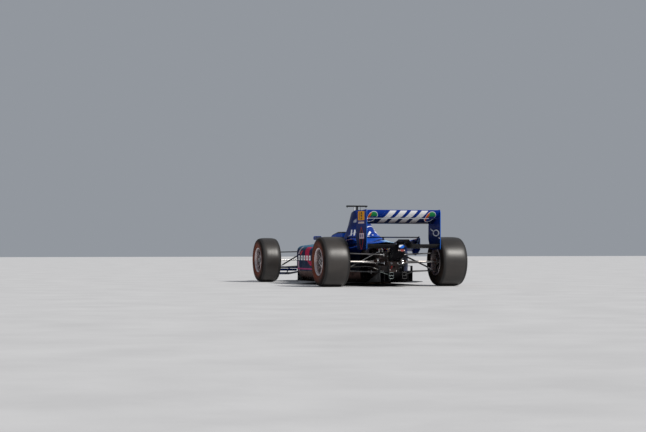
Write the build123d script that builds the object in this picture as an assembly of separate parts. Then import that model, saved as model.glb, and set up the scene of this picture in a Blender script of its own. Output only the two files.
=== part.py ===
from build123d import *
from math import cos, radians, sin, sqrt
import os

os.makedirs("parts", exist_ok=True)

# An open wheel racing car in millimetres. The nose points to -Y, the car's left is +X,
# the ground is Z = 0 and the origin lies on the ground under the middle of the car.
wheelbase = 3080
front_axle_y = -1310
rear_axle_y = front_axle_y + wheelbase
front_tip_y = -2330
rear_tip_y = 2330
fit_gap = 0.3

# Wheels and tyres
tyre_radius = 327.5
axle_z = tyre_radius
front_tyre_width = 300
rear_tyre_width = 370
track_outer_half = 1000
bead_radius = 165
flange_radius = 183.5
flange_thickness = 8
rim_inset = 20
rim_wall = 8
rim_well = 5
bead_seat = 30
tread_shoulder = 42
tread_taper = 9
tread_crown = 4
tread_depth = 20
sidewall_radius = 255
tyre_wall = 12
spoke_count = 10
spoke_root = 26
spoke_waist = 14
spoke_foot = 32
spoke_depth = 20
spoke_face_inset = 42
rim_centre_radius = 62
nut_radius = 38
nut_length = 26

# Hubs, brakes and uprights, measured inward or outward along the axle
disc_radius = 128
disc_thickness = 20
brake_clearance = 5
upright_depth = 40
upright_width = 72
upright_half_height = 90
ball_joint_half_height = 115
eye_radius = 17
eye_height = 24
stud_radius = 8
spindle_radius = 22
hub_radius = 38
kingpin_inset = 75
rear_upright_inset = 95
journal_radius = 32
driveshaft_radius = 14
joint_boot_radius = 44
joint_boot_length = 70

# Steering
steer_arm = 95
steer_pin_radius = 6
rod_eye_play = 4.2
rod_eye_wall = 5
rod_eye_height = 16
track_rod_radius = 9
rack_radius = 11
rack_half_length = 215
column_radius = 10
column_tilt = 20
wheel_rim_y = -330
wheel_rim_z = 560

# Suspension arms, oval in section, and the rear rockers and dampers on the gearbox
arm_half_chord = 16
arm_half_thickness = 8
toe_link_radius = 8
rocker_thickness = 10
rocker_z = 473
rocker_drop = 12
rocker_pivot = (62, 1655)
rocker_rod_end = (118, 1690)
rocker_damper_end = (50, 1604)
damper_z = 496
damper_front_y = 1410
spring_radius = 22
spring_wire = 4
spring_turns = 7
push_rod_radius = 11
push_rod_inset = 135
front_arm_spread = (-150, 240)
rear_arm_spread = (-320, 120)
front_upper_inner_z = 455
front_lower_inner_z = 245
rear_upper_inner_z = 415
rear_lower_inner_z = 185
gusset_thickness = 8

# Floor and plank
plank_bottom = 32
plank = (-150, 150, -900, 1400)
plank_thickness = 10
floor_thickness = 8
floor_bottom = plank_bottom + plank_thickness
floor_top = floor_bottom + floor_thickness
floor_half_width = 700
tail_floor_half_width = 495
floor_end_y = 1470

# Tub: y, half-width at the keel, keel z, flank half-width, flank low z, flank high z,
# half-width of the top, top z
tub_wall = 30
tub_corners = (30, 40, 50, 40)
bulkhead_y = 470
flank = 262
tub_sections = [
    (-1500, 110, 235, 150, 290, 470, 105, 545),
    (-900, 150, 120, 215, 200, 520, 140, 625),
    (-450, 220, floor_top + fit_gap, flank, 120, 590, 195, 660),
    (bulkhead_y, 220, floor_top + fit_gap, flank, 120, 590, 195, 660),
]
tub_top = 660
cockpit_front_y = -470
cockpit_rear_y = 330
cockpit_half_width = 172

# Nose: y, half-width low, low z, half-width high, high z
nose_sections = [
    (tub_sections[0][0] - fit_gap, 118, 235, 112, 545),
    (-1700, 106, 220, 100, 496),
    (-1900, 90, 205, 80, 430),
    (-2060, 76, 192, 64, 366),
    (-2200, 58, 180, 46, 300),
    (-2270, 44, 181, 33, 262),
    (-2300, 32, 186, 24, 236),
]
nose_corners = (20, 24)

# Bodywork: y, half-width at the floor, half-width of the flank, undercut z, shoulder z,
# half-width and z of the seam, half-width and z of the hump's side, half-width and z of the spine
skin = 6
pod_front_y = -230
pod_rear_y = 1380
tail_y = 1650
body_sections = [
    (pod_front_y, 600, 700, 195, 530, flank, 585, 150, 590, 75, 600),
    (bulkhead_y, 640, 700, 195, 515, flank, 575, 150, 790, 75, 1035),
    (900, 545, 570, 150, 450, 245, 560, 125, 700, 48, 805),
    (1300, 300, 310, 130, 410, 230, 572, 110, 605, 40, 655),
    (tail_y, 150, 232, 300, 480, 210, 570, 90, 583, 40, 590),
]
body_corners = (0, 40, 60, 0, 40, 40)
inlet = (300, 650, 215, 500)
airbox_front_y = 370
airbox_mouth = (-62, 62, 895, 1005)
airbox_corners = (0, 60, 34)
airbox_base = (218, 40)
airbox_waist = (150, 25, 790)
airbox_top = (75, 1020, 1035)

# Cockpit fittings
grip_frame = (280, 184, 60, 24)
grip_hole = (232, 136, 38, 40)
grip_centre = (238, 50, 12, 18)
column_length = 330
dash_y = (-500, -486)
bucket_half_width = 160
bucket_bolster = 8
headrest_half_width = 190
headrest_inner = 150
headrest_front_y = -200
headrest_low = 690
headrest_top = 736
headrest_crest_y = 60
mirror_pod = (250, 368, -540, -480, 622, 680)
mirror_stalk = ((290, -505, 645), (150, -480, 585), 7)
camera_bar = (-150, 150, 350, 440, 1082, 1107)
camera_stalk = (-14, 14, 375, 430, 1090)

# Flip-ups: y, x and z of the ramp's inner edge, x and z of its outer edge, low edge of the fence
flip_thickness = 6
flip_sections = [
    (900, 430, 470, 650, 462, 400),
    (1200, 270, 535, 610, 560, 430),
    (1520, 212, 556, 530, 648, 480),
]
winglet_z = 648
winglet_front_y = 1470
winglet_chord = 90
winglet_half_span = 505

# Rear wing
rear_wing_half_span = 510
endplate_thickness = 10
rear_wing_top = 1009
rear_main_nose = (1930, 850)
rear_main_chord = 250
rear_flap_nose = (2162, 901)
rear_flap_chord = 192
beam_nose_y = 2140
beam_chord = 180
beam_angle = 15
beam_low_z = 511
beam_hump_z = 573
beam_hump_x = (70, 115)
endplate_low = 489
endplate_front_y = 1890

# Front wing: half x, nose y and z, chord, thickness, camber and angle of each section
front_wing_half_span = 700
front_wing_reach = front_wing_half_span - endplate_thickness - fit_gap
front_plane_sections = [
    (90, -2320, 140, 300, 26, 8, 2),
    (250, -2320, 110, 300, 26, 14, 4),
    (front_wing_reach, -2300, 110, 300, 26, 14, 4),
]
front_flap_sections = [
    (190, -2030, 155, 130, 12, 8, 22),
    (front_wing_reach, -2010, 160, 150, 12, 8, 28),
]
pylon_x = (22, 34)
front_plate_low = 60
front_plate_high = 330
front_plate_rear_y = -1830

# Engine, gearbox and crash structure
engine_half_width = 200
engine_low = 60
engine_top = 480
radiator_x = (300, 560)
radiator_y = (0, 60)
gearbox_front_y = 1050
gearbox_rear_y = 1950
casing_sections = [
    (gearbox_front_y + fit_gap, 130, 80, 430),
    (1400, 122, 120, 430),
    (gearbox_rear_y, 82, 190, 470),
]
casing_corner = 14
boss_radius = 56
post_radius = 13
crash_rear_y = 2240
crash_top = 560
crash_corners = (14, 26)
crash_sections = [
    (gearbox_rear_y + fit_gap, 78, 330, 470),
    (crash_rear_y - 130, 74, 390, crash_top),
    (crash_rear_y - 30, 56, 440, crash_top),
    (crash_rear_y, 46, 452, crash_top - 12),
]
lamp = (34, 20, 456, 500)
saddle_half_width = 40
saddle_front_y = 2155
saddle_rear_y = 2225
casing_rib_ys = (1160, 1260, 1360, 1540, 1620)
casing_rib = (8, 6)
casing_flange = (12, 12)
output_face_x = 150
starter_radius = 13
starter_depth = 60
starter_z = 260
diffuser_wall = 5
diffuser_x = (100, 160, 220)
diffuser_side = [(floor_end_y, 42), (1900, 160), (2040, 195), (2040, 200), (1900, 165), (floor_end_y, 47)]
diffuser_fence = [(floor_end_y, 42), (1780, 60), (2040, 70), (2040, 200), (1900, 165), (floor_end_y, 47)]
diffuser_middle = [(floor_end_y, 42), (1800, 100), (2090, 190), (2090, 195), (1800, 105), (floor_end_y, 47)]
diffuser_keel = [(floor_end_y, 42), (1760, 60), (2090, 80), (2090, 195), (1800, 105), (floor_end_y, 47)]
diffuser_box = (100, 225, 1965, 2040, 195, 275)
board_arc = ((330, -760), (480, -560), (660, -300))
board_offset = (6, -4)
board_height = 300
exhaust_x = 215
exhaust_z = 463
exhaust_end_y = 1640
exhaust_radius = 32
exhaust_bore = 29
exhaust_depth = 560


def ring(y, half_points, radii):
    """A closed section across the car, from its left-hand points, mirrored, with rounded corners."""
    left = [Vector(x, y, z) for x, z in half_points]
    right = [Vector(-x, y, z) for x, z in reversed(half_points)]
    wire = Wire.make_polygon(left + right, close=True)
    for (x, z), radius in zip(half_points, radii):
        if radius:
            corners = [v for v in wire.vertices() if abs(abs(v.X) - x) < 0.01 and abs(v.Z - z) < 0.01]
            wire = wire.fillet_2d(radius, corners)
    return wire


def skin_over(wires):
    return Solid.make_loft(wires, ruled=True)


def block(x0, x1, y0, y1, z0, z1):
    solid = Solid.make_box(x1 - x0, y1 - y0, z1 - z0)
    return solid.moved(Location((x0, y0, z0)))


def bar(start, end, radius):
    start, end = Vector(*start), Vector(*end)
    run = end - start
    return Solid.make_cylinder(radius, run.length, Plane(origin=start, z_dir=run))


def oval_bar(start, end):
    """A suspension arm's leg, oval in section with its chord along the car."""
    start, end = Vector(*start), Vector(*end)
    run = end - start
    plane = Plane(origin=start, x_dir=Vector(0, 0, 1).cross(run), z_dir=run)
    return Solid.extrude((plane * Ellipse(arm_half_chord, arm_half_thickness)).face(), run)


def both_sides(shape):
    return [shape, mirror(shape, about=Plane.YZ)]


def slab(points, x0, x1, radius=0):
    """A plate across X, from an outline of (y, z) points."""
    wire = Wire.make_polygon([Vector(x0, y, z) for y, z in points], close=True)
    if radius:
        wire = wire.fillet_2d(radius, wire.vertices())
    return Solid.extrude(Face(wire), Vector(x1 - x0, 0, 0))


def sheet_up(points, z0, z1):
    """A flat plate, from an outline of (x, y) points."""
    wire = Wire.make_polygon([Vector(x, y, z0) for x, y in points], close=True)
    return Solid.extrude(Face(wire), Vector(0, 0, z1 - z0))


def foil_wire(x, y, z, chord, thickness, camber, angle):
    """A wing section at X, nose at (y, z), hollow side up, tail raised by the angle."""
    nose = thickness * 0.3
    tail = 1.5
    mid_top = -camber + thickness * 0.35
    mid_low = -camber - thickness * 0.65
    rise = radians(angle)

    def at(u, v):
        return Vector(x, y + u * cos(rise) - v * sin(rise), z + u * sin(rise) + v * cos(rise))

    upper = Edge.make_three_point_arc(at(nose, nose), at(chord * 0.45, mid_top), at(chord, tail))
    end = Edge.make_line(at(chord, tail), at(chord, -tail))
    lower = Edge.make_three_point_arc(at(chord, -tail), at(chord * 0.4, mid_low), at(nose, -nose))
    front = Edge.make_three_point_arc(at(nose, -nose), at(0, 0), at(nose, nose))
    return Wire([upper, end, lower, front])


def wing(sections):
    return skin_over([foil_wire(*row) for row in sections])


def keep_largest(shape):
    return sorted(shape.solids(), key=lambda solid: solid.volume)[-1]


# Tub, nose and bodywork outlines

def tub_outline(grow):
    wires = []
    for y, keel_x, keel_z, side_x, low_z, high_z, top_x, top_z in tub_sections:
        points = [(keel_x + grow, keel_z - grow), (side_x + grow, low_z),
                  (side_x + grow, high_z), (top_x + grow, top_z + grow)]
        wires.append(ring(y, points, tub_corners))
    return skin_over(wires)


def tub_inside(inset):
    wires = []
    for y, keel_x, keel_z, side_x, low_z, high_z, top_x, top_z in tub_sections:
        if y == tub_sections[0][0]:
            y = y + tub_wall
        if y == bulkhead_y:
            y = y - tub_wall
        points = [(keel_x - inset, keel_z + inset), (side_x - inset, low_z + inset / 2),
                  (side_x - inset, high_z - inset / 2), (top_x - inset, top_z - inset)]
        wires.append(ring(y, points, (12, 12, 12, 12)))
    return skin_over(wires)


def make_monocoque():
    tub = tub_outline(0) - tub_inside(tub_wall)
    opening = block(-cockpit_half_width, cockpit_half_width, cockpit_front_y, cockpit_rear_y,
                    tub_top - 2 * tub_wall, tub_top + tub_wall)
    opening = opening.fillet(60, [e for e in opening.edges() if abs(e.tangent_at(0).Z) > 0.9])
    tub = tub - opening
    rack_hole = bar((-flank, front_axle_y - steer_arm, axle_z), (flank, front_axle_y - steer_arm, axle_z),
                    rack_radius + fit_gap)
    return tub - rack_hole


def nose_outline(grow):
    wires = []
    for y, low_x, low_z, high_x, high_z in nose_sections:
        points = [(low_x + grow, low_z - grow), (high_x + grow, high_z + grow)]
        wires.append(ring(y, points, nose_corners))
    return skin_over(wires)


def body_outline(grow, open_floor=0, front_inset=0, tail_extra=0):
    wires = []
    for row in body_sections:
        y, floor_x, side_x, under_z, shoulder_z, seam_x, seam_z, hump_x, hump_z, top_x, top_z = row
        if y == pod_front_y:
            y = y + front_inset
        if y == tail_y:
            y = y + tail_extra
        points = [(floor_x + grow, floor_top + fit_gap - open_floor), (side_x + grow, under_z),
                  (side_x + grow, shoulder_z + grow / 2), (seam_x + grow, seam_z + grow),
                  (hump_x + grow, hump_z + grow / 2), (top_x + grow, top_z + grow)]
        wires.append(ring(y, points, [r and r + grow for r in body_corners]))
    return skin_over(wires)


def seam_prism(grow, high):
    """The band between the two seams, from the ground up."""
    points = [(row[5] + grow, row[0]) for row in body_sections]
    outline = points + [(-x, y) for x, y in reversed(points)]
    return sheet_up(outline, 0, high)


def body_shell():
    outer = body_outline(0)
    inner = body_outline(-skin, open_floor=skin, front_inset=skin, tail_extra=skin)
    return outer - inner


def make_sidepod(shell):
    pods = shell - seam_prism(fit_gap, 1200)
    pods = pods - block(-800, 800, pod_rear_y, tail_y + 100, 0, 1200)
    x0, x1, z0, z1 = inlet
    hole = block(x0, x1, pod_front_y - 20, pod_front_y + 20, z0, z1)
    hole = hole.fillet(40, [e for e in hole.edges() if abs(e.tangent_at(0).Y) > 0.9])
    left = pods & block(0, 800, pod_front_y - 10, tail_y, 0, 1200)
    return keep_largest(left - hole)


def make_engine_cover(shell):
    strip = shell & seam_prism(0, 1200)
    strip = strip & block(-800, 800, bulkhead_y + fit_gap, tail_y, 300, 1200)
    return keep_largest(strip)


def make_airbox():
    base_x, base_step = airbox_base
    waist_x, waist_step, waist_z = airbox_waist
    top_x, front_top, rear_top = airbox_top
    low_z = tub_top + fit_gap
    front = [(base_x - base_step, low_z), (waist_x - waist_step, waist_z), (top_x, front_top)]
    rear = [(base_x, low_z), (waist_x, waist_z), (top_x, rear_top)]
    hoop = skin_over([ring(airbox_front_y, front, airbox_corners), ring(bulkhead_y, rear, airbox_corners)])
    x0, x1, z0, z1 = airbox_mouth
    mouth = block(x0, x1, airbox_front_y - 10, bulkhead_y + 10, z0, z1)
    mouth = mouth.fillet(24, [e for e in mouth.edges() if abs(e.tangent_at(0).Y) > 0.9])
    return hoop - mouth


# Wheels, built with the axle along X, outward is +X

def bulge(low, high, x_peak):
    """An arc from one (x, r) point to another that is upright where it is widest, at x_peak."""
    end, peak = (low, high) if abs(high[0] - x_peak) < 0.01 else (high, low)
    depth = abs(x_peak - end[0])
    rise = end[1] - peak[1]
    radius = (depth ** 2 + rise ** 2) / (2 * depth)
    inward = 1 if x_peak < 0 else -1
    half_rise = rise / 2
    middle = x_peak + inward * (radius - sqrt(radius ** 2 - half_rise ** 2))
    return Edge.make_three_point_arc(Vector(*low, 0), Vector(middle, peak[1] + half_rise, 0),
                                     Vector(*high, 0))


def make_tyre(width):
    half = width / 2
    bead_x = half - rim_inset - flange_thickness - fit_gap
    inner_x = bead_x - tyre_wall
    low = bead_radius + fit_gap
    liner_x = half - tyre_wall - 6
    tread_x = half - tread_taper

    def side(s):
        return [
            Edge.make_line((s * inner_x, low, 0), (s * bead_x, low, 0)),
            Edge.make_line((s * bead_x, low, 0), (s * bead_x, flange_radius + 4, 0)),
            bulge((s * bead_x, flange_radius + 4), (s * half, sidewall_radius), s * half),
            bulge((s * half, sidewall_radius), (s * tread_x, tyre_radius - tread_crown), s * half),
            Edge.make_line((s * inner_x, low, 0), (s * liner_x, sidewall_radius, 0)),
            Edge.make_line((s * liner_x, sidewall_radius, 0),
                           (s * (tread_x - tread_shoulder), tyre_radius - tread_depth, 0)),
        ]

    shoulder = tyre_radius - tread_crown
    tread = Edge.make_three_point_arc((-tread_x, shoulder, 0), (0, tyre_radius, 0), (tread_x, shoulder, 0))
    liner_end = tread_x - tread_shoulder
    liner_r = tyre_radius - tread_depth
    liner = Edge.make_line((-liner_end, liner_r, 0), (liner_end, liner_r, 0))
    profile = Wire(side(1) + side(-1) + [tread, liner])
    corners = [v for v in profile.vertices() if abs(v.Y - shoulder) < 0.01]
    return revolve(Face(profile.fillet_2d(tread_shoulder, corners)), axis=Axis.X)


def tube_x(x0, x1, radius, bore=0):
    solid = bar((x0, 0, 0), (x1, 0, 0), radius)
    return solid - bar((x0 - 1, 0, 0), (x1 + 1, 0, 0), bore) if bore else solid


def make_rim(width):
    """Flanged rim with bead seats and a well, and tapered spokes to its centre."""
    edge = width / 2 - rim_inset
    inner = bead_radius - rim_wall
    half = [(edge, flange_radius - 4), (edge - 3, flange_radius), (edge - flange_thickness, flange_radius),
            (edge - flange_thickness, bead_radius), (edge - bead_seat, bead_radius),
            (edge - bead_seat - 16, bead_radius - rim_well)]
    inside = [(edge, flange_radius - 10), (edge - 12, inner)]
    outline = half + [(-x, r) for x, r in reversed(half)] + [(-x, r) for x, r in inside]
    outline = outline + list(reversed(inside))
    wire = Wire.make_polygon([Vector(x, r, 0) for x, r in outline], close=True)
    barrel = revolve(Face(wire), axis=Axis.X)
    face_x = edge - spoke_face_inset
    centre = tube_x(face_x - spoke_depth, face_x, rim_centre_radius, hub_radius * 0.8 + fit_gap)
    reach = inner - rim_centre_radius
    widths = [(rim_centre_radius - 6, spoke_root), (rim_centre_radius + reach * 0.25, spoke_waist),
              (rim_centre_radius + reach * 0.7, spoke_waist), (inner + 1.5, spoke_foot)]
    points = [(w / 2, r) for r, w in widths] + [(-w / 2, r) for r, w in reversed(widths)]
    spoke = slab(points, face_x - spoke_depth, face_x)
    spokes = [spoke.rotate(Axis.X, 360 / spoke_count * i) for i in range(spoke_count)]
    return barrel + spokes + centre


def make_hub(width, upright_inset, shaft_bore):
    """Hub, brake disc and centre nut that turn with the wheel."""
    face_x = width / 2 - rim_inset - spoke_face_inset
    disc_x = -upright_inset + upright_depth / 2 + 22
    flange_x = face_x - spoke_depth
    hub = tube_x(disc_x, flange_x, hub_radius)
    hub = hub + tube_x(disc_x, disc_x + disc_thickness, disc_radius)
    hub = hub + tube_x(flange_x - 12, flange_x, rim_centre_radius)
    hub = hub + tube_x(flange_x, face_x + fit_gap, hub_radius * 0.8)
    hub = hub + tube_x(face_x + fit_gap, face_x + nut_length, nut_radius)
    if shaft_bore:
        hub = hub - tube_x(disc_x - 1, face_x, shaft_bore)
    return hub


def make_upright(width, upright_inset, steered):
    """Upright with studs for the two ball joints and the brake caliper."""
    centre_x = -upright_inset
    x0, x1 = centre_x - upright_depth / 2, centre_x + upright_depth / 2
    disc_x = x1 + 22
    body = block(x0, x1, -upright_width / 2, upright_width / 2, -upright_half_height,
                 upright_half_height)
    body = body.fillet(14, [e for e in body.edges() if abs(e.tangent_at(0).X) > 0.9])
    stud_z = ball_joint_half_height + eye_height / 2 + 4
    body = body + bar((centre_x, 0, -stud_z), (centre_x, 0, stud_z), stud_radius)
    caliper = block(disc_x - 16, disc_x + disc_thickness + 16, 70, 143, -35, 35)
    slot = tube_x(disc_x - brake_clearance, disc_x + disc_thickness + brake_clearance,
                  disc_radius + brake_clearance)
    caliper = caliper - slot
    bracket = block(x0 + 8, disc_x - 10, 30, 100, -24, 24)
    body = body + (bracket + caliper)
    if steered:
        spindle_end = width / 2 - rim_inset - spoke_face_inset - 4
        body = body + tube_x(x1 - 2, spindle_end, spindle_radius)
        arm = block(x0 + 8, x1 - 8, -steer_arm - 12, -upright_width / 2 + 4, -27, -14)
        pin = bar((centre_x, -steer_arm, -16), (centre_x, -steer_arm, 14), steer_pin_radius)
        body = body + arm + pin
    else:
        body = body - tube_x(x0 - 1, disc_x, journal_radius)
    return body


def place_wheel(shape, width, axle_y):
    return shape.moved(Location((track_outer_half - width / 2, axle_y, axle_z)))


def make_driveshaft(width, upright_inset):
    """Driveshaft in the wheel's own coordinates, with its two joint boots."""
    wheel_x = track_outer_half - width / 2
    inner_x = output_face_x + fit_gap - wheel_x
    upright_x = -upright_inset
    journal_x0 = upright_x - upright_depth / 2 - 8
    disc_x = upright_x + upright_depth / 2 + 22
    shaft = tube_x(inner_x, journal_x0, driveshaft_radius)
    shaft = shaft + tube_x(inner_x, inner_x + joint_boot_length, joint_boot_radius)
    shaft = shaft + tube_x(journal_x0 - joint_boot_length, journal_x0, joint_boot_radius)
    return shaft + tube_x(journal_x0, disc_x + 1, journal_radius - fit_gap)


# Suspension

def make_arm(outer, inner_points):
    """A two-legged arm with an upright eye at its outer end."""
    eye = bar((outer[0], outer[1], outer[2] - eye_height / 2),
              (outer[0], outer[1], outer[2] + eye_height / 2), eye_radius)
    arm = eye
    for inner in inner_points:
        arm = arm + oval_bar(outer, inner)
    hole = bar((outer[0], outer[1], outer[2] - eye_height), (outer[0], outer[1], outer[2] + eye_height),
               stud_radius + fit_gap)
    return arm - hole


def arm_pair(ball_x, axle_y, spread, inner_x, upper_z, lower_z, gusset_x):
    upper = make_arm((ball_x, axle_y, axle_z + ball_joint_half_height),
                     [(inner_x, axle_y + dy, upper_z) for dy in spread])
    low_z = axle_z - ball_joint_half_height
    lower = make_arm((ball_x, axle_y, low_z), [(inner_x, axle_y + dy, lower_z) for dy in spread])
    slope = (ball_x - gusset_x) / (ball_x - inner_x)
    gusset = block(gusset_x - 16, gusset_x + 16, axle_y + spread[0] * slope, axle_y + spread[1] * slope,
                   low_z - gusset_thickness / 2, low_z + gusset_thickness / 2)
    return upper, lower + gusset


def make_push_rod(foot_x, axle_y, inner):
    low_z = axle_z - ball_joint_half_height
    foot_z = low_z + gusset_thickness / 2 + fit_gap
    foot = bar((foot_x, axle_y, foot_z), (foot_x, axle_y, foot_z + 26), push_rod_radius + 2)
    return foot + bar((foot_x, axle_y, foot_z + 16), inner, push_rod_radius)


def make_rocker(casing):
    """The plate that turns the push rod's thrust into the damper, on its pivot."""
    points = [rocker_rod_end, rocker_pivot, rocker_damper_end]
    plate = sheet_up(points, rocker_z + fit_gap, rocker_z + fit_gap + rocker_thickness)
    low_z = rocker_z + fit_gap
    for (x, y), radius in zip(points, (15, 18, 14)):
        plate = plate + bar((x, y, low_z), (x, y, low_z + rocker_thickness), radius)
    x, y = rocker_pivot
    pivot = bar((x, y, rocker_z - 30), (x, y, rocker_z + rocker_thickness + 8), 12)
    return keep_largest(plate + pivot - casing)


def make_damper():
    """A spring and damper lying along the casing's top, with an upright eye at each end."""
    x, rear_y = rocker_damper_end
    eye_low = rocker_z + rocker_thickness + 2 * fit_gap
    damper = bar((x, damper_front_y + 8, damper_z), (x, rear_y - 8, damper_z), 9)
    damper = damper + bar((x, damper_front_y + 20, damper_z), (x, rear_y - 62, damper_z),
                          spring_radius - spring_wire + 1)
    for y in (damper_front_y + 22, rear_y - 66):
        damper = damper + bar((x, y, damper_z), (x, y + 6, damper_z), spring_radius + spring_wire)
    pitch = (rear_y - 66 - damper_front_y - 28) / spring_turns
    for turn in range(spring_turns):
        y = damper_front_y + 28 + pitch * (turn + 0.5)
        plane = Plane(origin=(x, y, damper_z), z_dir=(0, 1, 0))
        damper = damper + Solid.make_torus(spring_radius, spring_wire, plane)
    for y in (damper_front_y, rear_y):
        damper = damper + bar((x, y, eye_low), (x, y, damper_z + 11), 11)
    return damper


def make_rack():
    y = front_axle_y - steer_arm
    pin_x = track_outer_half - front_tyre_width / 2 - kingpin_inset
    eye_inner = steer_pin_radius + rod_eye_play
    eye_outer = eye_inner + rod_eye_wall
    rack = bar((-rack_half_length, y, axle_z), (rack_half_length, y, axle_z), rack_radius)
    for side in (-1, 1):
        rod_end = pin_x - eye_inner - rod_eye_wall / 2
        rod = bar((side * (rack_half_length - 5), y, axle_z), (side * rod_end, y, axle_z),
                  track_rod_radius)
        eye = bar((side * pin_x, y, axle_z - rod_eye_height / 2),
                  (side * pin_x, y, axle_z + rod_eye_height / 2), eye_outer)
        hole = bar((side * pin_x, y, axle_z - rod_eye_height), (side * pin_x, y, axle_z + rod_eye_height),
                   eye_inner)
        rack = rack + rod + (eye - hole)
    return rack


# Cockpit

def column_plane():
    tilt = radians(column_tilt)
    return Plane(origin=(0, wheel_rim_y, wheel_rim_z), x_dir=(-1, 0, 0), z_dir=(0, cos(tilt), sin(tilt)))


def make_steering_wheel():
    plane = column_plane()
    outer, hole, centre = [extrude(plane * RectangleRounded(wide, tall, radius), depth / 2, both=True)
                           for wide, tall, radius, depth in (grip_frame, grip_hole, grip_centre)]
    end = plane.from_local_coords(Vector(0, 0, -column_length))
    column = bar((0, wheel_rim_y, wheel_rim_z), (end.X, end.Y, end.Z), column_radius)
    return keep_largest(outer - hole + centre + column)


def make_dash(column_line):
    space = tub_inside(tub_wall + fit_gap)
    panel = space & block(-flank, flank, *dash_y, 400, tub_top)
    return panel - column_line


def make_bucket():
    floor_z = floor_top + fit_gap + tub_wall + fit_gap
    profile = [(-300, floor_z + 16), (0, floor_z), (190, floor_z + 30), (320, 540), (310, 544),
               (180, floor_z + 44), (0, floor_z + 10), (-300, floor_z + 26)]
    shell = slab(profile, -bucket_half_width, bucket_half_width)
    bolster = slab([(-300, floor_z + 18), (0, floor_z + 2), (188, floor_z + 32), (270, 360),
                    (140, 330), (-60, 230), (-280, 180)],
                   bucket_half_width, bucket_half_width + bucket_bolster)
    return shell + both_sides(bolster)


def make_headrest():
    front_y = headrest_front_y
    rear_y = airbox_front_y - fit_gap
    low_z = tub_top + fit_gap
    outer = slab([(front_y, low_z), (rear_y, low_z), (rear_y, headrest_top), (headrest_crest_y, headrest_top),
                  (front_y, headrest_low)], -headrest_half_width, headrest_half_width)
    inner = block(-headrest_inner, headrest_inner, front_y - 100, cockpit_rear_y - 40,
                  tub_top - 60, headrest_top + 60)
    inner = inner.fillet(70, [e for e in inner.edges() if abs(e.tangent_at(0).Z) > 0.9
                              and e.center().Y > 0])
    return outer - inner


def make_mirror():
    pod = block(*mirror_pod)
    pod = pod.fillet(16, pod.edges())
    return (pod + bar(*mirror_stalk)) - tub_outline(fit_gap)


def make_camera_pod():
    """A bar across the car on a stalk that stands on the hoop's sloping top."""
    pod = block(*camera_bar)
    pod = pod.fillet(11, [e for e in pod.edges() if abs(e.tangent_at(0).X) > 0.9])
    x0, x1, y0, y1, high_z = camera_stalk
    front_top, rear_top = airbox_top[1:]
    slope = (rear_top - front_top) / (bulkhead_y - airbox_front_y)
    foot = [(y, front_top + slope * (y - airbox_front_y) + fit_gap) for y in (y0, y1)]
    return pod + slab(foot + [(y1, high_z), (y0, high_z)], x0, x1)


# Wings

def make_front_mainplane():
    right = [(-x, *rest) for x, *rest in reversed(front_plane_sections)]
    plane = wing(right + front_plane_sections)
    pylon = slab([(-2230, 135), (-2060, 135), (-2030, 260), (-2190, 260)], *pylon_x)
    return (plane + both_sides(pylon)) - nose_outline(fit_gap)


def make_front_flap():
    return wing(front_flap_sections)


def make_front_plate():
    outline = [(front_tip_y, front_plate_low), (front_plate_rear_y, front_plate_low),
               (front_plate_rear_y, front_plate_high), (-2080, front_plate_high), (front_tip_y, 190)]
    return slab(outline, front_wing_half_span - endplate_thickness, front_wing_half_span, 12)


def make_rear_plate():
    outline = [(endplate_front_y, 600), (endplate_front_y + 70, endplate_low),
               (rear_tip_y, endplate_low), (rear_tip_y, rear_wing_top),
               (endplate_front_y + 30, rear_wing_top - 25)]
    return slab(outline, rear_wing_half_span - endplate_thickness, rear_wing_half_span, 12)


def make_beam_wing():
    inner = rear_wing_half_span - endplate_thickness - fit_gap
    top_x, foot_x = beam_hump_x
    rows = [(-inner, beam_low_z), (-foot_x, beam_low_z), (-top_x, beam_hump_z), (top_x, beam_hump_z),
            (foot_x, beam_low_z), (inner, beam_low_z)]
    return wing([(x, beam_nose_y, z, beam_chord, 22, 10, beam_angle) for x, z in rows])


def make_winglet():
    """A thin wing between the two flip-ups, with a stay on the spine."""
    plane = wing([(x, winglet_front_y, winglet_z, winglet_chord, 10, 5, 6)
                  for x in (-winglet_half_span, winglet_half_span)])
    plane = keep_largest(plane - both_sides(make_flip_up(fit_gap)))
    stay = slab([(winglet_front_y + 22, 560), (winglet_front_y + 70, 560),
                 (winglet_front_y + 68, winglet_z), (winglet_front_y + 20, winglet_z - 4)], -4, 4)
    return keep_largest((plane + stay) - body_outline(fit_gap))


def make_flip_up(grow):
    """A ramp that rises from the bodywork, with a fence along its outer edge."""
    wires = []
    for y, in_x, in_z, out_x, out_z, low_z in flip_sections:
        thick = flip_thickness + 2 * grow
        slope = (out_z - in_z) / (out_x - in_x)
        inside = (out_x + grow - thick, out_z - grow - slope * flip_thickness)
        points = [(in_x, in_z - grow), (in_x, in_z - grow + thick), (out_x + grow, out_z - grow + thick),
                  (out_x + grow, low_z), (out_x + grow - thick, low_z), inside]
        wires.append(Wire.make_polygon([Vector(x, y, z) for x, z in points], close=True))
    return skin_over(wires)


# Running gear behind the tub

def gearbox_outline(grow):
    wires = []
    for y, x, low, high in casing_sections:
        half = [(x + grow, low - grow), (x + grow, high + grow)]
        wires.append(ring(y, half, (casing_corner, casing_corner)))
    return skin_over(wires)


def casing_at(y):
    """Half-width, underside and top of the casing at a place along it."""
    rows = casing_sections[:2] if y < casing_sections[1][0] else casing_sections[1:]
    (y0, *first), (y1, *last) = rows
    share = (y - y0) / (y1 - y0)
    return [a + (b - a) * share for a, b in zip(first, last)]


def casing_collar(y, width, rise):
    x, low, high = casing_at(y)
    wire = ring(y, [(x + rise, low - rise), (x + rise, high + rise)], (casing_corner, casing_corner))
    return Solid.extrude(Face(wire), Vector(0, width, 0))


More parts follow.
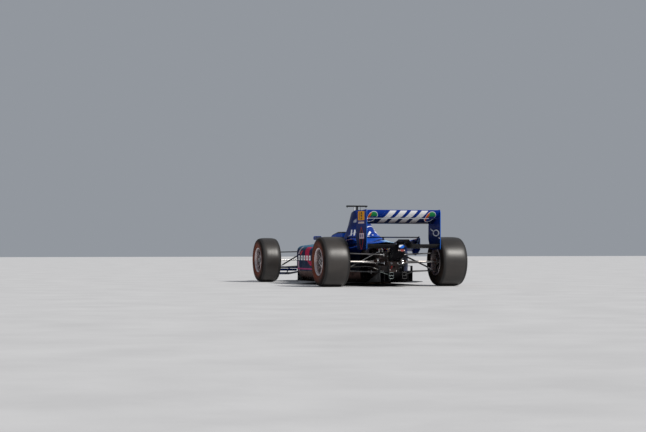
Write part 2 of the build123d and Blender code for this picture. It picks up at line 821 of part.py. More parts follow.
def make_gearbox():
    """Casing with its ribs, end flanges, output bosses, damper posts and starter socket."""
    box = gearbox_outline(0)
    for y in casing_rib_ys:
        box = box + casing_collar(y, *casing_rib)
    width, rise = casing_flange
    for y in (casing_sections[0][0], gearbox_rear_y - width):
        box = box + casing_collar(y, width, rise)
    box = box + bar((-output_face_x, rear_axle_y, axle_z), (output_face_x, rear_axle_y, axle_z), boss_radius)
    x = rocker_damper_end[0]
    top = casing_at(damper_front_y)[2]
    post = bar((x, damper_front_y, top - 20), (x, damper_front_y, rocker_z + rocker_thickness + fit_gap),
               post_radius)
    box = box + both_sides(post)
    return box - bar((0, gearbox_rear_y - starter_depth, starter_z), (0, gearbox_rear_y + 1, starter_z),
                     starter_radius)


def make_crash_structure():
    wires = [ring(y, [(x, low), (x, high)], crash_corners) for y, x, low, high in crash_sections]
    body = skin_over(wires)
    saddle = block(-saddle_half_width, saddle_half_width, saddle_front_y, saddle_rear_y,
                   crash_top - 12, beam_hump_z + 25)
    saddle = saddle - make_beam_wing().moved(Location((0, 0, -fit_gap)))
    return body + sorted(saddle.solids(), key=lambda solid: solid.center().Z)[0]


def make_floor():
    half = [(150, -950), (230, -900), (430, -650), (690, -300), (floor_half_width, -240),
            (floor_half_width, 1150), (520, 1390), (tail_floor_half_width, floor_end_y)]
    outline = half + [(-x, y) for x, y in reversed(half)]
    return sheet_up(outline, floor_bottom, floor_top)


def make_diffuser():
    """A long middle channel and a channel on each side, with fences and a small duct on top."""
    keel_x, middle_x, fence_x = diffuser_x
    channel = slab(diffuser_side, keel_x, fence_x + diffuser_wall)
    for x in (keel_x, middle_x, fence_x):
        channel = channel + slab(diffuser_fence, x, x + diffuser_wall)
    keel = slab(diffuser_keel, keel_x, keel_x + diffuser_wall)
    x0, x1, y0, y1, z0, z1 = diffuser_box
    wall = diffuser_wall
    duct = block(x0, x1, y0, y1, z0, z1)
    bore = block(x0 + wall, x1 - wall, y0 - 1, y1 + 1, z0 + wall, z1 - wall)
    reach = keel_x + wall
    return slab(diffuser_middle, -reach, reach) + both_sides(channel + keel + (duct - bore))


def make_bargeboard():
    dx, dy = board_offset
    face = Edge.make_three_point_arc(*[Vector(x, y, 0) for x, y in board_arc])
    back = Edge.make_three_point_arc(*[Vector(x + dx, y + dy, 0) for x, y in board_arc])
    ends = [Edge.make_line(face @ 0, back @ 0), Edge.make_line(face @ 1, back @ 1)]
    wall = Solid.extrude(Face(Wire([face, back] + ends)), Vector(0, 0, board_height))
    return wall.moved(Location((0, 0, floor_top + fit_gap)))


def save(name, *shapes):
    solids = []
    for shape in shapes:
        solids += shape.solids()
    export_step(Compound(solids) if len(solids) > 1 else solids[0], "parts/" + name + ".step")


def save_body():
    save("monocoque", make_monocoque())
    save("nose_cone", nose_outline(0))
    shell = body_shell()
    pod = make_sidepod(shell)
    save("sidepod_left", pod)
    save("sidepod_right", mirror(pod, about=Plane.YZ))
    save("engine_cover", make_engine_cover(shell))
    save("airbox", make_airbox())
    save("headrest", make_headrest())
    save("driver_bucket", make_bucket())
    save("mirrors", *both_sides(make_mirror()))
    save("camera_pod", make_camera_pod())
    save("flip_ups", *both_sides(keep_largest(make_flip_up(0) - body_outline(fit_gap))))
    save("bargeboards", *both_sides(make_bargeboard()))


def save_aero():
    save("front_wing_mainplane", make_front_mainplane())
    save("front_wing_flaps", *both_sides(make_front_flap()))
    save("front_wing_endplates", *both_sides(make_front_plate()))
    inner = rear_wing_half_span - endplate_thickness - fit_gap
    ends = (-inner, inner)
    save("rear_wing_mainplane", wing([(x, *rear_main_nose, rear_main_chord, 34, 30, 8) for x in ends]))
    save("rear_wing_flap", wing([(x, *rear_flap_nose, rear_flap_chord, 20, 14, 33) for x in ends]))
    save("rear_wing_endplates", *both_sides(make_rear_plate()))
    save("beam_wing", make_beam_wing())
    save("rear_winglets", make_winglet())
    save("floor", make_floor())
    save("skid_plank", block(*plank, plank_bottom, floor_bottom))
    save("diffuser", make_diffuser())


def save_drive():
    save("engine_block", block(-engine_half_width, engine_half_width, bulkhead_y + fit_gap, gearbox_front_y,
                               engine_low, engine_top))
    save("gearbox_casing", make_gearbox())
    save("rear_crash_structure", make_crash_structure())
    half_width, depth, low_z, high_z = lamp
    light = block(-half_width, half_width, crash_rear_y + fit_gap, crash_rear_y + depth, low_z, high_z)
    save("rain_light", light.fillet(6, [e for e in light.edges() if abs(e.tangent_at(0).Y) > 0.9]))
    pipe = bar((exhaust_x, gearbox_front_y + fit_gap, exhaust_z), (exhaust_x, exhaust_end_y, exhaust_z),
               exhaust_radius)
    pipe = pipe - bar((exhaust_x, exhaust_end_y - exhaust_depth, exhaust_z),
                      (exhaust_x, exhaust_end_y + 1, exhaust_z), exhaust_bore)
    save("exhaust_pipes", *both_sides(pipe))
    radiator = block(*radiator_x, *radiator_y, floor_top + fit_gap, inlet[3])
    save("radiators", *both_sides(radiator))


def save_running_gear():
    front_ball = track_outer_half - front_tyre_width / 2 - kingpin_inset
    rear_ball = track_outer_half - rear_tyre_width / 2 - rear_upright_inset
    tub = tub_outline(fit_gap)
    upper, lower = arm_pair(front_ball, front_axle_y, front_arm_spread, 130, front_upper_inner_z,
                            front_lower_inner_z, front_ball - push_rod_inset)
    save("front_wishbones", *both_sides(keep_largest(upper - tub)), *both_sides(keep_largest(lower - tub)))
    box = gearbox_outline(fit_gap)
    rear_upper, rear_lower = arm_pair(rear_ball, rear_axle_y, rear_arm_spread, 70, rear_upper_inner_z,
                                      rear_lower_inner_z, rear_ball - push_rod_inset)
    toe = bar((rear_ball, rear_axle_y + 100, axle_z), (60, rear_axle_y + 120, axle_z - 20), toe_link_radius)
    rear_upright = place_wheel(make_upright(rear_tyre_width, rear_upright_inset, False),
                               rear_tyre_width, rear_axle_y)
    toe = keep_largest(toe - box - rear_upright)
    save("rear_wishbones", *both_sides(keep_largest(rear_upper - box)),
         *both_sides(keep_largest(rear_lower - box)), *both_sides(toe))
    front_rod = make_push_rod(front_ball - push_rod_inset, front_axle_y, (110, front_axle_y, 540)) - tub
    x, y = rocker_rod_end
    rod_top = rocker_z - rocker_drop
    rear_rod = make_push_rod(rear_ball - push_rod_inset, rear_axle_y - 20, (x, y, rod_top))
    rear_rod = (rear_rod + bar((x, y, rod_top - rocker_drop), (x, y, rocker_z), push_rod_radius + 2)) - box
    save("rear_dampers", *both_sides(make_rocker(box)), *both_sides(make_damper()))
    save("pushrods", *both_sides(keep_largest(front_rod)), *both_sides(keep_largest(rear_rod)))
    save("rear_uprights", *both_sides(rear_upright))
    knuckle = place_wheel(make_upright(front_tyre_width, kingpin_inset, True),
                          front_tyre_width, front_axle_y)
    save("knuckle_left", knuckle)
    save("knuckle_right", mirror(knuckle, about=Plane.YZ))
    save("steering_rack", make_rack())
    steering = make_steering_wheel()
    save("steering_wheel", steering)
    end = column_plane().from_local_coords(Vector(0, 0, -400))
    line = bar((0, wheel_rim_y, wheel_rim_z), (end.X, end.Y, end.Z), column_radius + fit_gap)
    save("dash_panel", make_dash(line))


def save_wheels():
    for axle, width, y, inset, bore in (("front", front_tyre_width, front_axle_y, kingpin_inset,
                                         spindle_radius + fit_gap),
                                        ("rear", rear_tyre_width, rear_axle_y, rear_upright_inset, 0)):
        tyre = place_wheel(make_tyre(width), width, y)
        rim = place_wheel(make_rim(width), width, y)
        hub = make_hub(width, inset, bore)
        if axle == "rear":
            hub = hub + make_driveshaft(width, inset)
        hub = place_wheel(hub, width, y)
        for name, shape in (("tyre", tyre), ("rim", rim), ("hub", hub)):
            save(axle + "_" + name + "_left", shape)
            save(axle + "_" + name + "_right", mirror(shape, about=Plane.YZ))


save_body()
save_aero()
save_drive()
save_running_gear()
save_wheels()
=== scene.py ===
from math import cos, hypot, pi, radians, sin, sqrt

import bmesh
import bpy
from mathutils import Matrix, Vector


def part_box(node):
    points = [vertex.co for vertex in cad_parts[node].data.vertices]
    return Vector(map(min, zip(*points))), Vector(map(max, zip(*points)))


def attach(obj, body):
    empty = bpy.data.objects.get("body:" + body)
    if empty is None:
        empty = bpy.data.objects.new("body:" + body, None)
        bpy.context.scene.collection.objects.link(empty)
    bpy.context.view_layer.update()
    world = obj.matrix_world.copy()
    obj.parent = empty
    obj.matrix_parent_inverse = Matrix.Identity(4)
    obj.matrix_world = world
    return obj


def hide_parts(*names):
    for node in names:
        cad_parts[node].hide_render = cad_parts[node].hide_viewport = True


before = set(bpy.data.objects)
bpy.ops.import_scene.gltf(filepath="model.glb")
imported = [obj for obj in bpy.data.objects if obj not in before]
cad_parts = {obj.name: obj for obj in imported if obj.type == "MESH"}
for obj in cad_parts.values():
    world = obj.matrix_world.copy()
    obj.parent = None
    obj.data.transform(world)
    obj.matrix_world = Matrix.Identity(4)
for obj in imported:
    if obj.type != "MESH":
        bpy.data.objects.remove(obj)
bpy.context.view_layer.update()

# Driving places in metres, read from the frame. The nose points to -Y and +X is the car's left.
AXLES = ("front", "rear")


class Place:
    """Where an axle's left tyre stands, with its half-width and radius."""

    def __init__(self, axle):
        low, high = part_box(axle + "_tyre_left")
        self.x = (low.x + high.x) / 2
        self.y = (low.y + high.y) / 2
        self.z = (low.z + high.z) / 2
        self.half = (high.x - low.x) / 2
        self.radius = (high.z - low.z) / 2


TYRES = {axle: Place(axle) for axle in AXLES}
AXLE_Z = TYRES["rear"].z
TYRE_RADIUS = TYRES["rear"].radius
FRONT_Y = TYRES["front"].y
REAR_Y = TYRES["rear"].y
PLATE_LOW, PLATE_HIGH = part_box("rear_wing_endplates")
FLOOR_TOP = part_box("floor")[1].z
TUB_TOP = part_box("monocoque")[1].z
AIRBOX_LOW, AIRBOX_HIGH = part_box("airbox")
BULKHEAD_Y = AIRBOX_HIGH.y
GAP = 0.0003
TREAD_FROM = 0.309
TYRE_EASE = 0.0002

# The photograph's camera, solved from the tyres
IMAGE_WIDTH = 646
FOCAL_PIXELS = 1614.7
SENSOR = 36
CAMERA = (7.15, REAR_Y + 20.18, 0.5255)
CAMERA_YAW = 17.15
CAMERA_PITCH = 1.088
SUN_ENERGY = 4.3
SUN_SPREAD = 9
SUN_HEADING = Vector((0.39, -0.66, -0.64))
SKY_STRENGTH = 0.36


# Numbers and colours in a material

class Field:
    """A number worked out by a material's nodes, which plain arithmetic joins to others."""

    def __init__(self, tree, socket):
        self.tree = tree
        self.socket = socket

    def joined(self, kind, *others):
        node = self.tree.nodes.new("ShaderNodeMath")
        node.operation = kind
        for index, value in enumerate((self, *others)):
            if isinstance(value, Field):
                self.tree.links.new(value.socket, node.inputs[index])
            else:
                node.inputs[index].default_value = value
        return Field(self.tree, node.outputs[0])

    def __add__(self, other):
        return self.joined("ADD", other)

    def __sub__(self, other):
        return self.joined("SUBTRACT", other)

    def __mul__(self, other):
        return self.joined("MULTIPLY", other)

    def __abs__(self):
        return self.joined("ABSOLUTE")

    def ramp(self, low, high, out_low=0.0, out_high=1.0):
        node = self.tree.nodes.new("ShaderNodeMapRange")
        for key, number in zip(("From Min", "From Max", "To Min", "To Max"),
                               (low, high, out_low, out_high)):
            node.inputs[key].default_value = number
        self.tree.links.new(self.socket, node.inputs["Value"])
        return Field(self.tree, node.outputs[0])

    def above(self, edge, soft=0.001):
        return self.ramp(edge - soft, edge + soft)

    def below(self, edge, soft=0.001):
        return self.ramp(edge - soft, edge + soft, 1.0, 0.0)

    def between(self, low, high, soft=0.001):
        return self.above(low, soft) * self.below(high, soft)


class Surface:
    """A material while its nodes are being made."""

    def __init__(self, name):
        self.material = bpy.data.materials.new(name)
        self.material.use_nodes = True
        self.tree = self.material.node_tree
        self.tree.nodes.clear()
        out = self.tree.nodes.new("ShaderNodeOutputMaterial")
        self.shader = self.tree.nodes.new("ShaderNodeBsdfPrincipled")
        self.tree.links.new(self.shader.outputs[0], out.inputs[0])
        self.place = self.tree.nodes.new("ShaderNodeTexCoord").outputs["Object"]
        split = self.tree.nodes.new("ShaderNodeSeparateXYZ")
        self.tree.links.new(self.place, split.inputs[0])
        self.x, self.y, self.z = (Field(self.tree, socket) for socket in split.outputs)

    def distance(self, first, second):
        """How far the two numbers' point is from their origin."""
        return (first * first + second * second).joined("SQRT")

    def noise(self, scale, detail=3.0, stretch=(1, 1, 1)):
        mapping = self.tree.nodes.new("ShaderNodeMapping")
        mapping.inputs["Scale"].default_value = stretch
        self.tree.links.new(self.place, mapping.inputs["Vector"])
        node = self.tree.nodes.new("ShaderNodeTexNoise")
        node.inputs["Scale"].default_value = scale
        node.inputs["Detail"].default_value = detail
        self.tree.links.new(mapping.outputs[0], node.inputs["Vector"])
        return Field(self.tree, node.outputs[0])

    def cells(self, scale):
        node = self.tree.nodes.new("ShaderNodeTexVoronoi")
        node.inputs["Scale"].default_value = scale
        self.tree.links.new(self.place, node.inputs["Vector"])
        return Field(self.tree, node.outputs["Distance"])

    def mix(self, share, first, second):
        """From the first colour to the second as the share goes from 0 to 1."""
        node = self.tree.nodes.new("ShaderNodeMix")
        node.data_type = "RGBA"
        self.tree.links.new(share.socket, node.inputs[0])
        for index, value in ((6, first), (7, second)):
            if isinstance(value, tuple):
                node.inputs[index].default_value = (*value, 1)
            else:
                self.tree.links.new(value, node.inputs[index])
        return node.outputs[2]

    def over(self, colour, *layers):
        """The colour with layers of (share, colour) laid over it in turn."""
        for share, value in layers:
            colour = self.mix(share, colour, value)
        return colour

    def finished(self, colour, rough, bump, metal=0.0, dull=None, coat=None):
        """The material. Rough is (low, high, scale), and bump is (height, distance, strength)."""
        self.tree.links.new(colour, self.shader.inputs["Base Color"])
        if rough:
            self.rough(*rough)
        self.bump(*bump)
        self.shader.inputs["Metallic"].default_value = metal
        if dull is not None:
            self.shader.inputs["Specular IOR Level"].default_value = dull
        if coat:
            self.shader.inputs["Coat Weight"].default_value = coat[0]
            self.shader.inputs["Coat Roughness"].default_value = coat[1]
        return self.material

    def rough(self, low, high, scale=9.0):
        mottled = self.noise(scale).ramp(0.3, 0.7, low, high)
        self.tree.links.new(mottled.socket, self.shader.inputs["Roughness"])

    def bump(self, height, distance, strength=1.0):
        node = self.tree.nodes.new("ShaderNodeBump")
        node.inputs["Distance"].default_value = distance
        node.inputs["Strength"].default_value = strength
        self.tree.links.new(height.socket, node.inputs["Height"])
        self.tree.links.new(node.outputs[0], self.shader.inputs["Normal"])

    def waves(self, number, pitch):
        """A sine wave along a number, repeating at each pitch."""
        return (number * (2 * pi / pitch)).joined("SINE")


NAVY = (0.003, 0.009, 0.048)
DEEP = (0.003, 0.015, 0.105)
ROYAL = (0.004, 0.034, 0.27)
AZURE = (0.005, 0.072, 0.44)
CRIMSON = (0.44, 0.001, 0.055)
WHITE = (0.90, 0.905, 0.92)
TEAL = (0.010, 0.10, 0.19)
MAUVE = (0.66, 0.42, 0.52)
DUST = (0.16, 0.13, 0.11)
# red-brown: part dust, part a painted reflection of a red ground
DUST_AND_RED_REFLECTION = (0.19, 0.045, 0.022)


def mottled(name, base, other, rough, patch=6.0, grain=250.0, depth=0.0002, metal=0.0, coat=0.0):
    """Two close colours in soft patches, with uneven roughness and a fine grain."""
    surface = Surface(name)
    colour = surface.mix(surface.noise(patch, 4.0).ramp(0.35, 0.65), base, other)
    return surface.finished(colour, (rough - 0.08, rough + 0.08), (surface.noise(grain, 4.0), depth),
                            metal, coat=(coat, 0.06))


def paint(name, picture, dull=0.04, coat=0.03):
    """Gloss paint whose colours the picture function works out from place."""
    surface = Surface(name)
    dust = surface.noise(6.0, 5.0).ramp(0.5, 0.9, 0.0, 0.04)
    return surface.finished(surface.mix(dust, picture(surface), DUST), (0.22, 0.38, 12.0),
                            (surface.noise(160.0, 3.0), 0.00006), dull=dull, coat=(coat, 0.07))


def woven(name):
    """Twill woven composite under a thin satin coat, a little dusty."""
    surface = Surface(name)
    pitch = 0.008
    first = surface.waves(surface.x + surface.z, pitch)
    second = surface.waves(surface.y - surface.z * 0.6, pitch)
    twill = (first * second).ramp(-0.3, 0.3)
    dust = surface.noise(5.0, 5.0).ramp(0.5, 0.85, 0.0, 0.12)
    colour = surface.mix(twill, (0.005, 0.005, 0.006), (0.016, 0.016, 0.018))
    return surface.finished(surface.mix(dust, colour, (0.06, 0.05, 0.045)), (0.24, 0.46, 14.0),
                            (twill, 0.0001, 0.4), dull=0.07, coat=(0.04, 0.15))


def slanted(across, rise, low, high, pitch, share, slant):
    """Bars in a row from low to high, each leaning by slant."""
    line = across + rise * slant
    row = ((line - low) * (1 / pitch)).joined("FRACT")
    return row.below(share, 0.02) * line.between(low, high)


def body_picture(surface):
    """Deep blue, brightest on the tail's deck with a pale patch of painted reflection, with thin white
    bars and swirls on the spine, whose top is darkened as painted shade.
    """
    y, z, side = surface.y, surface.z, abs(surface.x)
    swirl = surface.noise(2.2, 1.0, (1, 0.7, 1)).between(0.50, 0.515, 0.004)
    bars = slanted(y, z, 1.22, 1.78, 0.085, 0.45, 0.8)
    return surface.over(
        surface.mix(z.ramp(0.30, 0.60), NAVY, DEEP),
        (y.ramp(0.45, 0.80) * z.ramp(0.50, 0.57), ROYAL),
        # painted shade: the spine's top darkened towards deep blue
        (z.ramp(0.68, 0.84) * 0.75, DEEP),
        (y.ramp(0.95, 1.25) * z.below(0.665, 0.045), AZURE),
        # painted reflection: a pale patch on the right of the deck's rear
        (y.ramp(1.47, 1.56) * surface.x.ramp(0.06, -0.02), (0.34, 0.56, 0.78)),
        (swirl * z.above(0.66) * 0.7, WHITE),
        (bars * z.between(0.68, 0.76) * side.above(0.03), WHITE),
        (z.between(0.664, 0.760) * y.below(0.48) * side.below(0.30), AZURE))


def pod_picture(surface):
    """Teal above navy, with crimson patches, pale blocks, thin flecks, near black low on the tail as
    painted shade, and a mottled brown foot darkening to near black at the bottom as painted shade.
    """
    y, z = surface.y, surface.z
    cloud = surface.noise(6.0, 2.0).ramp(0.45, 0.62)
    patch = (z + y * 0.42).between(0.45, 0.62) * z.between(0.262, 0.325)
    pale_fleck = (z - y * 0.9).between(0.505, 0.560) * z.between(0.42, 0.525)
    red_fleck = (z - y * 0.6).between(0.415, 0.462) * z.between(0.405, 0.47)
    stripe = (y - z * 0.15).between(0.13, 0.33) * z.between(0.33, 0.52)
    blocks = slanted(y, z, -0.14, 0.62, 0.13, 0.62, 0.0) * z.between(0.335, 0.40)
    hollow = slanted(y, z, -0.11, 0.62, 0.13, 0.16, 0.0) * z.between(0.352, 0.383)
    foot_mottle = surface.noise(18.0, 4.0).ramp(0.4, 0.7)
    foot = surface.mix(foot_mottle, (0.125, 0.070, 0.060), (0.055, 0.034, 0.030))
    return surface.over(
        surface.mix(z.ramp(0.47, 0.535), NAVY, TEAL),
        (cloud * z.below(0.34, 0.02), (0.006, 0.030, 0.075)),
        (y.ramp(0.7, 1.1) * z.ramp(0.44, 0.53), ROYAL),
        # painted shade: near black low on the pod's tail
        (y.ramp(0.85, 1.15) * z.ramp(0.50, 0.38), (0.003, 0.004, 0.012)),
        (patch * y.between(0.16, 0.68), CRIMSON),
        (pale_fleck * y.between(-0.20, 0.06), (0.40, 0.33, 0.38)),
        (red_fleck * y.between(-0.05, 0.12), (0.42, 0.03, 0.05)),
        (y.between(-0.165, -0.100) * z.between(0.19, 0.325), (0.42, 0.26, 0.35)),
        (stripe, CRIMSON),
        (blocks * (hollow * -1 + 1), WHITE),
        (z.between(0.205, 0.225) * y.below(0.75, 0.05), (0.45, 0.05, 0.18)),
        # a mottled brown foot, darkened to near black at the very bottom as painted shade under the
        # undercut
        (z.below(0.185), surface.mix(z.ramp(0.135, 0.085), foot, (0.012, 0.008, 0.007))))


def nose_picture(surface):
    """Deep blue with a white flash along each side of the nose and a crimson tip."""
    flash = (surface.z - surface.y * 0.19).between(0.72, 0.745) * surface.y.below(-0.55)
    return surface.over(surface.mix(surface.z.ramp(0.25, 0.6), NAVY, ROYAL), (flash, WHITE),
                        (surface.y.below(-2.17), CRIMSON))


def roundel(surface, colour, across, up, radius):
    """A plain disc in three colours, with a pale rim."""
    dx, dz = surface.x - across, surface.z - up
    reach = surface.distance(dx, dz)
    fill = surface.over((0.02, 0.05, 0.20), (dz.above(0.004), (0.02, 0.26, 0.08)),
                        (dx.above(radius * 0.45), (0.75, 0.13, 0.02)))
    return surface.over(colour, (reach.below(radius), fill),
                        (reach.between(radius, radius + 0.005), WHITE))


def wing_picture(surface):
    """Royal blue above navy, with leaning white bars in the middle, greyed towards their bottoms as
    painted shade, and a disc near each end.
    """
    z = surface.z
    bars = slanted(surface.x, z - 0.9, -0.28, 0.30, 0.145, 0.62, 0.62) * z.between(0.838, 0.992)
    # painted shade: the white bars turn grey towards their bottoms
    white_to_painted_shade = surface.mix(z.ramp(0.835, 0.915), (0.21, 0.19, 0.21), (0.90, 0.90, 0.92))
    colour = surface.over(surface.mix(z.ramp(0.875, 0.93), NAVY, ROYAL), (bars, white_to_painted_shade))
    for across in (-0.395, 0.405):
        colour = roundel(surface, colour, across, 0.915, 0.062)
    return colour


def plate_picture(surface):
    """Outside a yellow panel, a pale strip and a labelled almond, inside a ring with two tails."""
    y, z = surface.y, surface.z
    outside = abs(surface.x).above(PLATE_HIGH.x - 0.004, 0.0005)
    up = z - 0.63
    first, second = [surface.distance(y - middle, up) for middle in (1.98, 2.24)]
    almond = first.joined("MAXIMUM", second)
    fill = surface.mix(z.ramp(0.70, 0.76), (0.006, 0.008, 0.022), (0.040, 0.055, 0.035))
    label = y.between(2.030, 2.215) * z.between(0.630, 0.700) * outside
    hollow = slanted(y, z, 2.052, 2.200, 0.075, 0.52, 0.0) * z.between(0.645, 0.685)
    oval = surface.distance((y - 2.175) * (1 / 0.115), (z - 0.705) * (1 / 0.044))
    fall = z + y * 0.25
    tails = abs(fall - 1.249).below(0.008) * y.between(1.97, 2.07)
    tails = tails + abs(fall - 1.210).below(0.008) * y.between(2.27, 2.325)
    return surface.over(
        surface.mix(z.ramp(0.6, 0.95), NAVY, (0.008, 0.030, 0.24)),
        (y.between(1.975, 2.235) * z.between(0.868, 0.985) * outside, (0.86, 0.36, 0.005)),
        (y.between(1.985, 2.225) * z.between(0.826, 0.850) * outside, (0.68, 0.52, 0.50)),
        (almond.below(0.190) * outside, fill),
        (almond.between(0.186, 0.204) * outside, (0.32, 0.03, 0.04)),
        (label, (0.72, 0.55, 0.60)),
        (hollow * label, (0.05, 0.05, 0.16)),
        ((oval.between(0.70, 1.0, 0.02) + tails) * (outside * -1 + 1), (0.85, 0.88, 0.93)),
        (y.above(PLATE_HIGH.y - 0.012), (0.015, 0.10, 0.42)))


def flip_picture(surface):
    """Navy outside with dusky pink marks, and azure on the rear's inner side."""
    y, z, side = surface.y, surface.z, abs(surface.x)
    marks = slanted(y, z, 0.55, 1.25, 0.17, 0.3, -0.6) * z.between(0.49, 0.54)
    stroke = abs(z + side * 0.35 - 0.785).below(0.007) * side.between(0.425, 0.50) * y.above(1.40)
    return surface.over(surface.mix(z.ramp(0.50, 0.60), NAVY, DEEP), (marks, MAUVE), (stroke, MAUVE),
                        (y.ramp(1.30, 1.42) * side.below(0.40, 0.03), AZURE))


def flip_inner_lit_picture(surface):
    """Pale azure painted light under the ramps' outer edge, royal blue below."""
    return surface.mix(surface.z.ramp(0.535, 0.565), (0.006, 0.07, 0.45), (0.34, 0.50, 0.80))


def front_wing_picture(surface):
    """Navy with royal blue ends."""
    return surface.mix(abs(surface.x).ramp(0.25, 0.65), NAVY, ROYAL)


def front_plate_picture(surface):
    """Royal blue with one pale line below the upper edge."""
    line = (surface.z - surface.y * 0.1).between(0.452, 0.462)
    return surface.over(surface.mix(surface.z.ramp(0.08, 0.30), NAVY, ROYAL), (line, WHITE))


def crash_picture(surface):
    """Dark cone with a blue and white cap and a pale strip below it."""
    up = surface.z - 0.530
    rear = surface.y.above(2.165)
    cap = rear * (surface.x * surface.x + up * up * 2.2).joined("SQRT").below(0.037, 0.003)
    split = (up + surface.x * 0.6).above(0.004, 0.004)
    strip = rear * surface.z.between(0.471, 0.485) * abs(surface.x).below(0.045)
    return surface.over((0.008, 0.008, 0.010), (cap, (0.012, 0.11, 0.50)),
                        (cap * split, (0.62, 0.68, 0.78)), (strip, (0.55, 0.42, 0.40)))


def radiator_core():
    """Dark core with fine fins between its flat tubes."""
    surface = Surface("radiator_core")
    fins = surface.waves(surface.x, 0.004).ramp(-0.4, 0.4)
    tubes = surface.waves(surface.z, 0.020).above(0.75, 0.1)
    colour = surface.over((0.030, 0.030, 0.032), (fins, (0.16, 0.16, 0.165)), (tubes, (0.28, 0.28, 0.29)))
    return surface.finished(colour, (0.35, 0.55, 20.0), (fins * 0.5 + tubes, 0.0015, 0.8), 0.7)


def rubber(axle):
    """The tread's worn slick rubber: paler and scuffed, with dark shoulders."""
    surface = Surface(axle + "_rubber")
    place = TYRES[axle]
    reach = surface.distance(surface.y - place.y, surface.z - AXLE_Z)
    across = abs(abs(surface.x) - place.x)
    scuff = surface.noise(3.5, 5.0, (0.5, 1, 1)).ramp(0.35, 0.7)
    streak = surface.noise(60.0, 3.0, (1.0, 0.04, 0.04)).ramp(0.3, 0.7, 0.0, 0.6)
    shoulder = across.ramp(place.half - 0.060, place.half - 0.042)
    crown = reach.ramp(0.306, 0.322)
    worn = surface.over((0.014, 0.0125, 0.012), (scuff, (0.038, 0.033, 0.030)),
                        (streak, (0.024, 0.021, 0.020)), (shoulder, (0.007, 0.007, 0.008)))
    even_rough = surface.noise(5.0).ramp(0.3, 0.7, 0.36, 0.45)
    edge_rough = (crown * -1 + 1 + shoulder).ramp(0.0, 1.0, 0.0, 0.25)
    surface.tree.links.new((even_rough + edge_rough).socket, surface.shader.inputs["Roughness"])
    return surface.finished(surface.mix(crown, (0.012, 0.010, 0.009), worn), None,
                            (surface.noise(220.0, 4.0) + streak * 0.5, 0.0005, 0.7), dull=0.42)


def sidewall(axle):
    """Dull dark sidewalls with fine moulded rings, and red-brown round the rim on the outer one, part
    dust and part a painted reflection of a red ground.
    """
    surface = Surface(axle + "_sidewall")
    place = TYRES[axle]
    reach = surface.distance(surface.y - place.y, surface.z - AXLE_Z)
    stain = surface.noise(9.0, 4.0).ramp(0.4, 0.7)
    dust_and_reflection_patches = surface.noise(5.0, 4.0).ramp(0.15, 0.55) * abs(surface.x).above(place.x)
    # the outer sidewall's red-brown near the rim is part dust, part a painted reflection of a red ground
    colour = surface.over((0.009, 0.0075, 0.007), (stain, (0.026, 0.017, 0.013)),
                          (reach.ramp(0.290, 0.215) * dust_and_reflection_patches, DUST_AND_RED_REFLECTION))
    rings = surface.waves(reach, 0.006) * reach.between(0.222, 0.246, 0.002)
    return surface.finished(colour, (0.55, 0.70, 5.0),
                            (surface.noise(220.0, 4.0) + rings * 0.4, 0.0005, 0.7), dull=0.08)


def alloy(axle):
    """Machined silver alloy with red-brown gathered inwards, part brake dust and part a painted
    reflection of a red ground.
    """
    surface = Surface(axle + "_alloy")
    reach = surface.distance(surface.y - TYRES[axle].y, surface.z - AXLE_Z)
    # red-brown inwards: part brake dust, part a painted reflection of a red ground
    dust = surface.noise(14.0, 5.0).ramp(0.30, 0.70, 0.10, 0.80) * reach.ramp(0.183, 0.150, 0.20, 1.0)
    return surface.finished(surface.mix(dust, (0.60, 0.56, 0.58), (0.24, 0.115, 0.085)),
                            (0.22, 0.42, 20.0), (surface.waves(reach, 0.0016), 0.00003, 0.5), 0.9)


def brake_steel():
    surface = Surface("brake_disc")
    stain = surface.noise(18.0, 4.0).ramp(0.35, 0.7)
    return surface.finished(surface.mix(stain, (0.17, 0.165, 0.16), (0.30, 0.26, 0.23)),
                            (0.32, 0.52, 20.0), (surface.noise(120.0, 3.0), 0.00008), 0.85)


def heated_metal():
    """Tail pipes, straw to blue where they are hottest."""
    surface = Surface("heated_metal")
    stain = surface.noise(11.0, 4.0).ramp(0.4, 0.75)
    tint = surface.over((0.33, 0.25, 0.17), (surface.y.ramp(1.15, 1.42), (0.16, 0.13, 0.19)),
                        (stain, (0.30, 0.22, 0.14)))
    return surface.finished(tint, (0.25, 0.45, 15.0), (surface.noise(180.0, 3.0), 0.00008), 0.95)


def plank_wood():
    surface = Surface("plank_wood")
    grain = surface.noise(40.0, 5.0, (1.0, 0.05, 1.0))
    colour = surface.mix(grain.ramp(0.35, 0.65), (0.16, 0.095, 0.050), (0.30, 0.20, 0.12))
    return surface.finished(colour, (0.5, 0.7), (grain, 0.0004, 0.6))


def cloth(name, base, other, pitch=0.0022):
    """Plain woven cloth, seen as crossing threads."""
    surface = Surface(name)
    first = surface.waves(surface.x + surface.z * 0.3, pitch)
    second = surface.waves(surface.y + surface.z * 0.5, pitch)
    threads = (first * second).ramp(-1.0, 1.0)
    surface.shader.inputs["Sheen Weight"].default_value = 0.25
    colour = surface.mix(threads * surface.noise(8.0).ramp(0.3, 0.7, 0.6, 1.0), base, other)
    return surface.finished(colour, (0.75, 0.92), (threads, 0.0004, 0.6))


def glass(name, colour, metal=0.0):
    surface = Surface(name)
    shade = surface.mix(surface.noise(5.0).ramp(0.3, 0.7), colour, tuple(c * 0.8 for c in colour))
    return surface.finished(shade, (0.04, 0.10), (surface.noise(30.0), 0.00002), metal, coat=(1.0, 0.02))


def lens():
    """Deep red lens over a grid of small round lamps."""
    surface = Surface("red_lens")
    lamps = surface.cells(110.0).below(0.35, 0.08)
    return surface.finished(surface.mix(lamps, (0.16, 0.010, 0.010), (0.36, 0.07, 0.06)), (0.08, 0.2),
                            (lamps, 0.0008, 0.6), coat=(1.0, 0.03))


